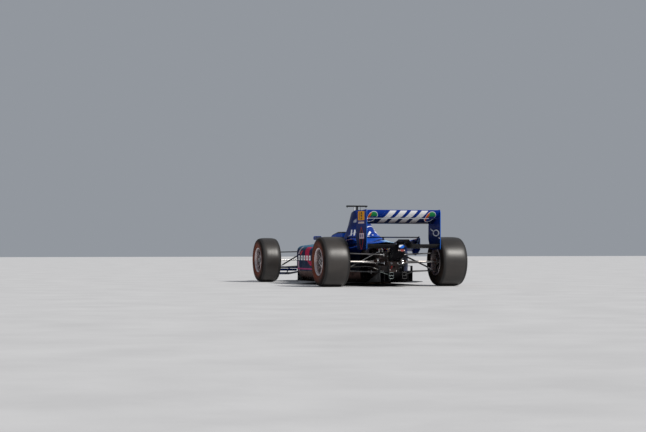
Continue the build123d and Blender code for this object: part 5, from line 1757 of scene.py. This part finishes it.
def make_tail_frames():
    """Small frames and stays under the crash structure, and fittings on the casing's end."""
    form = Form()
    loop = rounded_loop(((0.062, 0.109), (0.122, 0.109), (0.122, 0.188), (0.062, 0.188)), 0.010, 4)
    # The right-hand frame and its stays are painted black as painted shade; the left-hand one is bare
    # metal.
    for side, coat in ((1, 0), (-1, 2)):
        path = [(side * p.x, 2.0975, p.y) for p in loop]
        form.tube(path + path[:2], 0.0034, sides=12, ends=False, paint=coat)
        form.tube([(side * x, 2.0975, 0.148) for x in (0.122, 0.092, 0.062)], 0.0025, sides=10,
                  paint=coat)
        form.tube([(side * x, 2.0445, z) for x, z in ((0.222, 0.197), (0.165, 0.176), (0.107, 0.155))],
                  0.0038, sides=12, paint=coat)
        for x, z in ((0.222, 0.197), (0.107, 0.155)):
            form.stud((side * x, 2.040, z), (0, 1, 0), 0.0065, 0.010, 6, paint=coat)
    for z in (0.308, 0.353):
        form.stud((0.040, 1.9500, z), (0, 1, 0), 0.0150, 0.009, 6, paint=3)
        form.stud((0.040, 1.9590, z), (0, 1, 0), 0.0075, 0.012, 12, paint=3)
    for x, z, long in ((-0.050, 0.300, 0.016), (-0.066, 0.236, 0.030), (-0.030, 0.200, 0.014),
                       (0.058, 0.214, 0.014)):
        form.box((x - 0.004, 1.9500, z), (x + 0.004, 1.9560, z + long), paint=1)
    form.stud((0.036, 1.9500, 0.262), (0, 1, 0), 0.0110, 0.012, 12, paint=4)
    form.stud((0.046, 1.9500, 0.236), (0, 1, 0), 0.0070, 0.010, 12, paint=4)
    piece("tail_frames", form, "bare_metal", BLADE, BRIGHT, MATTE, PALE, RED_FITTING)


def make_tail_lines():
    """Lines down the casing's end in clips, and a shaft out to the left with a hose."""
    form = Form()
    for x, top, low, sway in ((-0.090, 0.470, 0.190, 0.012), (-0.062, 0.322, 0.150, -0.010),
                              (0.092, 0.440, 0.215, 0.010)):
        form.tube(curve([(x, 1.958, top), (x + sway, 1.968, top * 0.7 + low * 0.3),
                         (x - sway, 1.966, top * 0.3 + low * 0.7), (x, 1.957, low)], 8), 0.0052, sides=12)
        for share in (0.2, 0.5, 0.8):
            z = top + (low - top) * share
            form.tube([(x, 1.962, z), (x, 1.962, z + 0.008)], 0.0085, paint=1)
            form.box((x - 0.003, 1.950, z), (x + 0.003, 1.960, z + 0.008), paint=1)
    ends = ((0.072, 1.938, 0.166), (0.264, 1.905, 0.249))
    # the shaft out to the left takes the paler steel of painted light
    form.tube(ends, 0.0055, paint=2)
    for x, y, z in ends:
        form.stud((x, y - 0.006, z), (0, 1, 0), 0.0085, 0.012, 6, paint=1)
    form.tube(curve([ends[1], (0.360, 1.895, 0.268), (0.480, 1.885, 0.262), (0.620, 1.865, 0.262)], 6),
              0.0040, sides=12)
    piece("tail_lines", form, "black_composite", HOSE, BRIGHT, SHAFT_LIT)


def make_crash_end():
    """The tapering crash structure with the saddle under the beam wing, and the lamp behind."""
    table = [(CRASH_LOW.y, 0.078, 0.330, 0.470), (2.110, 0.074, 0.390, 0.560),
             (2.210, 0.056, 0.440, 0.560), (2.240, 0.046, 0.452, 0.548)]
    rows = []
    for y in spread(CRASH_LOW.y, 2.2398, 40):
        half_x, low, high = eased(table, y)
        rows.append(ring(y, [(0, low), (half_x, low), (half_x, high), (0, high)], (0.016, 0.032)))
    form = Form().grid(rows, around=True, ends=True)
    saddle = rounded_loop(((2.157, 0.546), (2.223, 0.546), (2.223, 0.5745), (2.157, 0.5650)), 0.006, 4)
    form.plate([(-0.038, p.x, p.y) for p in saddle], (0.076, 0, 0), paint=1)
    for x in (-0.0395, 0.0385):
        for y in (2.172, 2.208):
            form.stud((x, y, 0.556), (1, 0, 0), 0.0048, 0.001, 12, paint=2)
    crash = piece("crash_cone", form, "black_composite", CRASH, CARBON, BRIGHT, sharp=45)
    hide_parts("rear_crash_structure")
    y0, y1 = LAMP_LOW.y, LAMP_HIGH.y
    shape = (0, (LAMP_LOW.z + LAMP_HIGH.z) / 2, LAMP_HIGH.x, (LAMP_HIGH.z - LAMP_LOW.z) / 2)
    body = box_rows(*shape, 0.024, ((y0, 0.96), (y0 + 0.006, 1.0), (y0 + 0.013, 0.97), (y1 - 0.002, 0.88),
                                    (y1, 0.80), (y1, 0.72), (y1 - 0.005, 0.70)))
    form = Form().grid(body, around=True, ends=True)
    front = box_rows(*shape, 0.016, ((y1 - 0.0055, 0.69), (y1 - 0.0025, 0.69), (y1 - 0.0008, 0.64),
                                     (y1 - 0.0005, 0.40)))
    form.grid(front, around=True, ends=True, paint=1)
    lamp = piece("tail_lamp", form, "red_lens", CRASH, LENS, sharp=50)
    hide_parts("rain_light")


def make_tail_pipes():
    """Two tail pipes with a rolled end and a clamp, carried by a stay to the casing."""
    x = PIPE_HIGH.x - 0.032
    z = (PIPE_LOW.z + PIPE_HIGH.z) / 2
    y0, y1 = PIPE_LOW.y, PIPE_HIGH.y
    profile = [(y0, 0.001), (y0, 0.0315), (y0 + 0.003, 0.032), (y1 - 0.010, 0.0308), (y1 - 0.004, 0.0316),
               (y1 - 0.001, 0.032), (y1, 0.0312), (y1 - 0.001, 0.0300), (y1 - 0.012, 0.0293),
               (y1 - 0.4, 0.0293), (y1 - 0.4, 0.001)]
    form = Form().grid(rings_y(x, z, profile), around=True)
    for y in (1.240, 1.520):
        clamp = [(y, 0.0322), (y, 0.0342), (y + 0.014, 0.0342), (y + 0.014, 0.0322)]
        form.grid(rings_y(x, z, clamp), around=True, paint=1)
        form.box((x - 0.010, y, z - 0.050), (x + 0.010, y + 0.014, z - 0.0325), paint=1)
        form.stud((x, y - 0.004, z - 0.043), (0, 1, 0), 0.0045, 0.022, 6, paint=1)
        at = casing_side(y + 0.007, 0.94)
        form.tube([(x, y + 0.007, z - 0.043), (at.x - 0.01, y + 0.007, at.z)], 0.0055, sides=12, paint=1)
    pipes = piece("tail_pipes", form.mirrored(), "bare_metal", HEATED, STEEL, sharp=45)
    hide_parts("exhaust_pipes")


def make_bargeboards():
    """Curved boards with a swept upper edge, a foot along the floor and two stays to the tub."""
    # Share of the length, x, y and the top's z
    table = [(0.0, 0.332, -0.757, 0.190), (0.15, 0.372, -0.720, 0.262), (0.45, 0.478, -0.562, 0.318),
             (0.75, 0.585, -0.414, 0.338), (1.0, 0.662, -0.302, 0.346)]
    ahead = Vector((0.662 - 0.332, 0.455, 0)).normalized()
    side = Vector((ahead.y, -ahead.x, 0))
    rows = []
    for share in spread(0.0, 1.0, 26):
        x, y, top = eased(table, share)
        row = [Vector((x, y, z)) + side * out for z, out in
               ((FLOOR_TOP + GAP, 0.0), (0.14, -0.002), (0.22, -0.002), (top - 0.03, 0.002),
                (top, 0.005))]
        rows.append(row + [point + side * 0.0045 for point in reversed(row)])
    form = Form().grid(rows, around=True, ends=True)
    for share, z in ((0.18, 0.19), (0.62, 0.24)):
        x, y, top = eased(table, share)
        form.tube([(x, y, z), (0.245, y - 0.01, z + 0.03)], 0.0050, 0.0080, hint=(0, 0, 1), sides=12,
                  paint=1)
    boards = piece("turning_boards", form.mirrored(), "black_composite", CARBON, ARM, sharp=40)
    soften_edges(boards, 0.0008, 50)
    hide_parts("bargeboards")


def make_mirrors():
    """Rounded mirror shells with glass behind and a blade stalk."""
    x0, x1 = 0.250, 0.368
    y0, y1 = -0.540, -0.480
    z0, z1 = 0.622, 0.680
    x, z, half_x, half_z = (x0 + x1) / 2, (z0 + z1) / 2, (x1 - x0) / 2, (z1 - z0) / 2
    shell = box_rows(x, z, half_x, half_z, 0.022, (
        (y0, 0.35), (y0 + 0.003, 0.55), (y0 + 0.010, 0.76), (y0 + 0.024, 0.93), (y0 + 0.042, 1.0),
        (y1, 1.0), (y1, 0.93), (y1 - 0.004, 0.92)))
    form = Form().grid(shell, around=True, ends=True)
    glass_loop = rounded_box(x, z, half_x * 0.915, half_z * 0.915, 0.020)
    form.grid([at_y(glass_loop, y1 - 0.0045), at_y(glass_loop, y1 - 0.0025)], around=True, ends=True,
              paint=1)
    stalk = [(0.300, -0.508, 0.636), (0.262, -0.502, 0.626), (0.215, -0.494, 0.612),
             (0.172, -0.486, 0.598)]
    form.tube(curve(stalk), 0.0085, 0.0040, hint=(0, 1, 0), paint=2)
    mirrors = piece("mirror_shells", form.mirrored(), "painted_blue", NOSE, MIRROR, CARBON, sharp=45)
    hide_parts("mirrors")


def make_camera_pod():
    """The camera pod across the top of the roll hoop, with a round camera at each end, and two masts."""
    x1, y0, y1, z = 0.150, 0.350, 0.440, 1.0945
    rows = []
    for x, scale in ((-x1, 0.62), (-x1 + 0.0015, 0.82), (-x1 + 0.008, 0.96), (-x1 + 0.020, 1.0),
                     (x1 - 0.020, 1.0), (x1 - 0.008, 0.96), (x1 - 0.0015, 0.82), (x1, 0.62)):
        row = []
        for turn in turns(32):
            u = cos(turn)
            deep = 0.0125 * abs(sin(turn)) ** 0.8 * (0.62 + 0.38 * (0.5 - u / 2) ** 0.5)
            row.append((x, (y0 + y1) / 2 + 0.045 * u * scale,
                        z + (deep if sin(turn) > 0 else -deep) * scale))
        rows.append(row)
    form = Form().grid(rows, around=True, ends=True)
    for side in (-1, 1):
        barrel = rings_y(side * 0.118, z, [(y0 + 0.0015, 0.0085), (y0 + 0.008, 0.0085)], 24)
        form.grid(barrel, around=True, ends=True, paint=1)
        form.tube([(side * 0.140, y0 + 0.030, z - 0.008), (side * 0.140, y0 + 0.036, z - 0.018)],
                  [0.007, 0.006], paint=1)
    levels = ((1.0225, 0.376, 0.430), (1.040, 0.378, 0.430), (1.070, 0.380, 0.428), (1.089, 0.376, 0.432))
    form.grid(strut(0, 0.0125, levels, 24), around=True, ends=True, paint=2)
    pod = piece("hoop_camera", form, "black_composite", CARBON, MATTE, CARBON, sharp=45)
    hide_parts("camera_pod")
    masts = Form()
    masts.tube([(0.048, 0.425, z) for z in (1.020, 1.030, 1.078)], [0.012, 0.0105, 0.0095], sides=20,
               paint=1)
    masts.tube([(-0.040, 0.430, z) for z in (1.015, 1.024, 1.0245, 1.081)],
               [0.009, 0.009, 0.0035, 0.0026])
    piece("hoop_masts", masts, "black_composite", MATTE, PALE, sharp=50)


make_casing_covers()
make_casing_pipes()
make_catch_tank()
make_tail_frames()
make_tail_lines()
make_crash_end()
make_tail_pipes()
make_bargeboards()
make_mirrors()
make_camera_pod()
for name, material, bevel, angle in (
        ("gearbox_casing", CAST, 0.0025, 30), ("rear_uprights", CAST, 0.0015, 35),
        ("knuckle_left", CAST, 0.0015, 35), ("knuckle_right", CAST, 0.0015, 35),
        ("engine_block", CAST, 0.004, 35), ("steering_rack", STEEL, 0, 30), ("radiators", CORE, 0, 30),
        ("floor", CARBON, 0.001, 40), ("skid_plank", WOOD, 0.002, 40), ("diffuser", CARBON, 0.0008, 40)):
    node_look(name, material, bevel, angle)


# Fasteners along the body's seams

def add_flush(form, place, out, radius=0.0065):
    """A flush quarter-turn fastener: a low rounded disc with a slot's rim."""
    out = Vector(out).normalized()
    form.tube(along(place, out, -0.001, 0.0006, 0.0011), [radius, radius, radius * 0.8], sides=18)
    form.tube(along(place, out, 0.0010, 0.0016), radius * 0.35, sides=12, paint=1)


def make_fasteners():
    """Fasteners along the pods' and the spine's seams, the floor's edge and the nose's joint."""
    form = Form()
    for y in spread(-0.15, 1.33, 12):
        chain = pod_chain(y)
        inward = (chain[-2] - chain[-1]).normalized()
        place = chain[-1] + inward * 0.022
        add_flush(form, (place.x, y, place.y),
                  (-inward.y if inward.x > 0 else inward.y, 0, abs(inward.x)))
    for y in spread(0.54, 1.60, 9):
        low, high = [Vector(p) for p in cover_half(y)[:2]]
        run = (high - low).normalized()
        place = low + run * 0.022
        add_flush(form, (place.x, y, place.y), (run.y, 0, -run.x))
    for y in spread(-0.12, 1.30, 9):
        floor_x, side_x, under_z = eased(BODY_ROWS, y)[:3]
        low = Vector((floor_x, FLOOR_TOP))
        run = (Vector((side_x, under_z)) - low).normalized()
        place = low + run * 0.028
        add_flush(form, (place.x, y, place.y), (run.y, 0, -run.x), 0.0055)
    nose_y, tub_y = -1.528, -1.475
    low_x, low_z, high_x, high_z = eased(NOSE_ROWS, nose_y)
    for up in (0.30, 0.40, 0.48):
        share = (up - low_z) / (high_z - low_z)
        add_flush(form, (low_x + (high_x - low_x) * share, nose_y, up), (1, 0, 0.05), 0.0060)
    for up in (0.30, 0.40, 0.48):
        add_flush(form, (eased(TUB_ROWS, tub_y)[2], tub_y, up), (1, 0, 0.05), 0.0060)
    piece("body_fasteners", form.mirrored(), "bare_metal", STEEL, MATTE)


make_fasteners()


# Cockpit

WHEEL_AT = Vector((0.0, -0.330, 0.560))
WHEEL_TILT = radians(20)
WHEEL_FACE = 0.0068
STRAP_THICK = 0.0012
WHEEL_OUT = Vector((0.0, cos(WHEEL_TILT), sin(WHEEL_TILT)))
WHEEL_UP = Vector((0.0, -sin(WHEEL_TILT), cos(WHEEL_TILT)))
HEADREST_LOW, HEADREST_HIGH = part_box("headrest")
HEADREST_FOOT = 0.6608
BAND_ROWS = 96


def on_wheel(across, up, out=0.0):
    """A point on the steering wheel's face."""
    return WHEEL_AT + Vector((across, 0, 0)) + WHEEL_UP * up + WHEEL_OUT * out


def headrest_rise(y):
    """How far the headrest's top has risen at y, from 0 at the front to 1."""
    return min(max((y - HEADREST_LOW.y) / 0.26, 0.0), 1.0)


def u_band(x, rear_y, radius):
    """An even run round a U that is open towards the nose."""
    front_y = HEADREST_LOW.y + 0.001
    corners = [(x, front_y), (x, rear_y), (-x, rear_y), (-x, front_y)]
    return even_chain(softened(corners, (radius, radius), 10), BAND_ROWS)


def headrest_rows():
    """Closed sections of a padded band that runs round the headrest in a U, pinched at its seams."""
    outer = u_band(HEADREST_HIGH.x - 0.005, HEADREST_HIGH.y - 0.005, 0.055)
    inner = u_band(0.1505, 0.2895, 0.075)
    rows = []
    for index, (far, near) in enumerate(zip(outer, inner)):
        half = (0.690 + 0.046 * headrest_rise((far.y + near.y) / 2) - HEADREST_FOOT) / 2
        from_end = min(index, BAND_ROWS - 1 - index)
        seam = 0.5 + 0.5 * cos(2 * pi * index / 19) if from_end else 0.0
        pinch = 1 - 0.055 * seam ** 24
        end = {0: 0.80, 1: 0.95}.get(from_end, 1.0)
        row = []
        for a, b in [squared(turn, 0.42) for turn in turns(20)]:
            place = near.lerp(far, 0.5 + 0.5 * (a * pinch * end))
            row.append((place.x, place.y,
                        HEADREST_FOOT + half + half * b * (pinch * end if b > 0 else 1)))
        rows.append(row)
    return rows


def even_chain(chain, count):
    """An open chain as a number of points at even distances along it."""
    lengths = [(b - a).length for a, b in zip(chain, chain[1:])]
    total = sum(lengths)
    points = []
    for number in range(count):
        target = total * number / (count - 1)
        index = 0
        while index < len(lengths) - 1 and target > lengths[index]:
            target -= lengths[index]
            index += 1
        points.append(chain[index].lerp(chain[index + 1], min(target / lengths[index], 1.0)))
    return points


def make_headrest():
    """A padded U round the back of the cockpit, in a painted surround, with piped seams and pull tabs."""
    rows = headrest_rows()
    pad = piece("headrest_pad", Form().grid(rows, around=True, ends=True), "foam_padding", PAD, sharp=60)
    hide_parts("headrest")
    shell = []
    for x, y in u_band(HEADREST_HIGH.x, HEADREST_HIGH.y, 0.058):
        top = 0.681 + 0.034 * headrest_rise(y)
        inward = Vector((-x, 0.05 - y)).normalized() * 0.0038
        shell.append([(x + inward.x * share, y + inward.y * share, z) for share, z in
                      ((0, 0.6606), (0, top - 0.002), (0.5, top), (1, top - 0.002), (1, 0.6606))])
    piece("headrest_surround", Form().grid(shell, around=True, ends=True), "painted_blue", BLUE, sharp=50)
    piping = Form()
    for index in (2, 8):
        piping.tube([Vector(row[index]) + Vector((0, 0, 0.0012)) for row in rows[2:-2]], 0.0022, sides=8)
    piece("headrest_piping", piping, "foam_padding", GRIP)
    tabs = Form()
    for x in (-0.060, 0.060):
        tabs.box((x - 0.012, 0.318, 0.7335), (x + 0.012, 0.352, 0.7355))
    piece("headrest_tabs", tabs, "foam_padding", BELT, bevel=0.0006)


def make_bucket():
    """A moulded shell that hugs the back and hips, with a rolled edge."""
    # Place along the shell: y and z of its middle, y and z of its raised side, half-width
    table = [(0.0, -0.297, 0.1015, -0.283, 0.176, 0.160), (1.0, -0.150, 0.0925, -0.140, 0.208, 0.161),
             (2.0, 0.000, 0.0860, -0.020, 0.250, 0.162), (3.0, 0.110, 0.0990, 0.080, 0.300, 0.162),
             (4.0, 0.180, 0.1240, 0.150, 0.331, 0.162), (5.0, 0.210, 0.2000, 0.192, 0.346, 0.162),
             (6.0, 0.247, 0.3200, 0.236, 0.358, 0.160), (7.0, 0.281, 0.4300, 0.277, 0.440, 0.156),
             (8.0, 0.315, 0.5400, 0.3145, 0.541, 0.150)]
    rows = []
    for place in spread(0.0, 8.0, 60):
        mid_y, mid_z, side_y, side_z, half = eased(table, place)
        edge = Vector((half, side_y, side_z))
        left = softened([(0, mid_y, mid_z), (half, mid_y, mid_z + 0.002), edge], (0.060,), 10)
        left += [edge + Vector((0.0030, 0, 0.0015)), edge + Vector((0.0055, 0, -0.003))]
        rows.append([Vector((-p.x, p.y, p.z)) for p in reversed(left[1:])] + left)
    seat = piece("moulded_bucket", Form().grid(rows), "black_composite", CARBON, sharp=50, wall=0.005)
    seat.modifiers["wall"].offset = 0
    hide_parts("driver_bucket")


def add_strap(form, points, half_width, across):
    """A flat strap along a smooth run of points."""
    across = Vector(across)
    rows = [[point - across * half_width, point + across * half_width] for point in curve(points, 8)]
    closed = []
    for index, (left, right) in enumerate(rows):
        ahead = rows[min(index + 1, len(rows) - 1)][0] - rows[max(index - 1, 0)][0]
        up = ahead.cross(across).normalized() * STRAP_THICK
        closed.append([left, right, right + up, left + up])
    form.grid(closed, around=True, ends=True)


def make_belts():
    """A six-point harness laid over the seat, with its buckle, sliders and tabs."""
    shoulder = [(0.070, 0.352, 0.600), (0.072, 0.325, 0.572), (0.074, 0.296, 0.520),
                (0.076, 0.262, 0.408), (0.070, 0.222, 0.275), (0.056, 0.150, 0.140),
                (0.040, 0.060, 0.106), (0.022, 0.012, 0.103)]
    lap = [(0.157, 0.135, 0.190), (0.150, 0.118, 0.155), (0.125, 0.080, 0.118), (0.085, 0.040, 0.103),
           (0.034, 0.004, 0.1035)]
    crotch = [(0.040, -0.215, 0.103), (0.034, -0.140, 0.101), (0.022, -0.070, 0.099),
              (0.012, -0.012, 0.1025)]
    tail = [(0.070, 0.262, 0.416), (0.070, 0.245, 0.360), (0.069, 0.229, 0.300), (0.068, 0.222, 0.262)]
    form = Form()
    for side in (-1, 1):
        def strap(points, half_width, across):
            add_strap(form, [(side * x, y, z) for x, y, z in points], half_width, across)

        strap(shoulder, 0.0250, (-1, 0, 0))
        form.box((side * 0.076 - 0.029, 0.246, 0.384), (side * 0.076 + 0.029, 0.256, 0.400), paint=1)
        strap(lap, 0.0230, (0, -side, 0))
        strap(crotch, 0.0190, (-1, 0, 0))
        strap(tail, 0.0240, (-1, 0, 0))
    piece("harness_straps", form, "foam_padding", BELT, BRIGHT, sharp=60)
    centre = (0, 0.0, 0.1045)
    buckle = Form().tube(along(centre, (0, 0, 1), 0, 0.003, 0.014, 0.017), [0.029, 0.031, 0.031, 0.028],
                         sides=40)
    buckle.tube(along(centre, (0, 0, 1), 0.017, 0.019, 0.022), [0.020, 0.020, 0.016], sides=32, paint=1)
    buckle.box((-0.006, -0.026, 0.1215), (0.006, 0.026, 0.1285), paint=1)
    piece("harness_buckle", buckle, "bare_metal", BRIGHT, RED_FITTING, bevel=0.0008)


def make_wheel_grip():
    """A flat-topped steering wheel with suede grips, a screen, knobs, buttons, paddles and its column."""
    form = Form()
    loop = rounded_loop(((-0.128, -0.080), (0.128, -0.080), (0.128, 0.080), (-0.128, 0.080)), 0.058, 9)
    path = [on_wheel(p.x, p.y) for p in loop]
    rows = []
    for index, point in enumerate(path):
        ahead = (path[(index + 1) % len(path)] - path[index - 1]).normalized()
        side = ahead.cross(WHEEL_OUT).normalized()
        row = []
        for turn in turns(16):
            ribs = 0.0006 * cos(10 * turn) if abs(loop[index].x) > 0.115 else 0.0
            reach = 0.0112 + ribs
            row.append(point + side * reach * cos(turn) + WHEEL_OUT * reach * sin(turn))
        rows.append(row)
    form.grid(rows + rows[:1], around=True)

    def face_plate(corners, radius, steps, level, thick, paint):
        outline = [on_wheel(p.x, p.y, level) for p in rounded_loop(corners, radius, steps)]
        form.plate(outline, WHEEL_OUT * thick, paint=paint)

    def face_tube(x, up, heights, radii, sides, paint):
        form.tube(along(on_wheel(x, up, WHEEL_FACE), WHEEL_OUT, *heights), radii, sides=sides,
                  paint=paint)

    face_plate([(-0.119, -0.024), (-0.060, -0.066), (0.060, -0.066), (0.119, -0.024), (0.119, 0.024),
                (0.075, 0.050), (-0.075, 0.050), (-0.119, 0.024)], 0.014, 5, -0.007, 0.014, 1)
    face_plate([(-0.040, 0.004), (0.040, 0.004), (0.040, 0.040), (-0.040, 0.040)], 0.005, 4, 0.0068,
               0.0028, 2)
    for step, paint in enumerate((3, 3, 3, 4, 4, 5, 5)):
        face_tube(-0.033 + step * 0.011, 0.0450, (0, 0.003), 0.0030, 12, paint)
    for x, up, paint in ((-0.088, 0.016, 4), (-0.088, -0.008, 6), (-0.062, -0.020, 3), (0.088, 0.016, 5),
                         (0.088, -0.008, 6), (0.062, -0.020, 4), (-0.062, 0.026, 6), (0.062, 0.026, 3)):
        face_tube(x, up, (0, 0.0035), 0.0085, 20, 1)
        face_tube(x, up, (0.003, 0.0075, 0.0088), [0.0060, 0.0060, 0.0045], 20, paint)
    for x, up in ((-0.034, -0.034), (0.034, -0.034), (0.0, -0.044)):
        face_tube(x, up, (0, 0.004, 0.011, 0.012), [0.0105, 0.0105, 0.0085, 0.0075], 16, 6)
        base = on_wheel(x, up, WHEEL_FACE) + WHEEL_OUT * 0.0119
        form.plate([base + Vector((dx, 0, 0)) + WHEEL_UP * du for dx, du in
                    ((-0.001, 0.001), (0.001, 0.001), (0.001, 0.0075), (-0.001, 0.0075))],
                   WHEEL_OUT * 0.0009, paint=7)
    paddle = [(0.040, -0.012), (0.108, -0.020), (0.116, 0.010), (0.100, 0.030), (0.040, 0.012)]
    for side in (-1, 1):
        face_plate([(side * x, up) for x, up in paddle], 0.008, 4, -0.0205, 0.003, 1)
    column = [(-0.007, 0.034), (-0.018, 0.034), (-0.024, 0.036), (-0.040, 0.036), (-0.046, 0.028),
              (-0.058, 0.022), (-0.058, 0.0098), (-0.329, 0.0098)]
    form.tube([on_wheel(0, 0, out) for out, _ in column], [reach for _, reach in column], sides=28,
              paint=7)
    wheel = piece("grip_wheel", form, "grip_trim", GRIP, CARBON, SCREEN, GREEN_FITTING, RED_FITTING,
                  ANODISED, MATTE, BRIGHT, body="steering_wheel", sharp=45)
    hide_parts("steering_wheel")


def make_dash():
    """Switches, and a round knob at each side, on the dash panel."""
    node_look("dash_panel", CARBON, 0.0008, 35)
    form = Form()
    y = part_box("dash_panel")[1].y
    for x, z in ((-0.150, 0.560), (-0.120, 0.560), (0.120, 0.560), (0.150, 0.560), (-0.150, 0.520),
                 (0.150, 0.520)):
        form.tube([(x, y, z), (x, y + 0.003, z)], 0.0085, sides=20)
        form.tube([(x, y + 0.003, z), (x, y + 0.013, z + 0.004)], [0.0028, 0.0022], sides=12, paint=1)
    for x, paint in ((0.145, 2), (-0.145, 0)):
        form.tube([(x, y, 0.475), (x, y + 0.006, 0.475), (x, y + 0.010, 0.475)], [0.016, 0.016, 0.012],
                  sides=24, paint=paint)
    piece("dash_switches", form, "black_composite", MATTE, BRIGHT, RED_FITTING, bevel=0.0004)


make_headrest()
make_bucket()
make_belts()
make_wheel_grip()
make_dash()


# Stage: camera, lamps, floor

def added(name, data):
    obj = bpy.data.objects.new(name, data)
    bpy.context.scene.collection.objects.link(obj)
    return obj


def aimed(obj, heading):
    obj.rotation_mode = "QUATERNION"
    obj.rotation_quaternion = heading.to_track_quat("-Z", "Y")


def make_stage():
    """A pale floor, the photograph's camera, one soft sun and a plain sky."""
    reach = 60.0
    form = Form().grid([[(x, y, 0) for x in (-reach, reach)] for y in (-reach, reach)])
    mesh = bpy.data.meshes.new("floor_plane")
    mesh.from_pydata(form.points, [], form.faces)
    mesh.materials.append(ground())
    added("floor_plane", mesh)

    data = bpy.data.cameras.new("camera")
    data.sensor_width = SENSOR
    data.lens = FOCAL_PIXELS * SENSOR / IMAGE_WIDTH
    data.clip_end = 200
    camera = added("camera", data)
    yaw, pitch = radians(CAMERA_YAW), radians(CAMERA_PITCH)
    camera.location = CAMERA
    aimed(camera, Vector((-sin(yaw) * cos(pitch), -cos(yaw) * cos(pitch), sin(pitch))))
    bpy.context.scene.camera = camera

    sun = bpy.data.lights.new("key", "SUN")
    sun.energy = SUN_ENERGY
    sun.angle = radians(SUN_SPREAD)
    sun.color = (1.0, 0.97, 0.92)
    aimed(added("key", sun), SUN_HEADING)

    world = bpy.data.worlds.new("sky")
    bpy.context.scene.world = world
    world.use_nodes = True
    back = world.node_tree.nodes["Background"]
    back.inputs["Color"].default_value = (0.80, 0.86, 0.95, 1)
    back.inputs["Strength"].default_value = SKY_STRENGTH
    bpy.context.scene.view_settings.view_transform = "Standard"


make_stage()
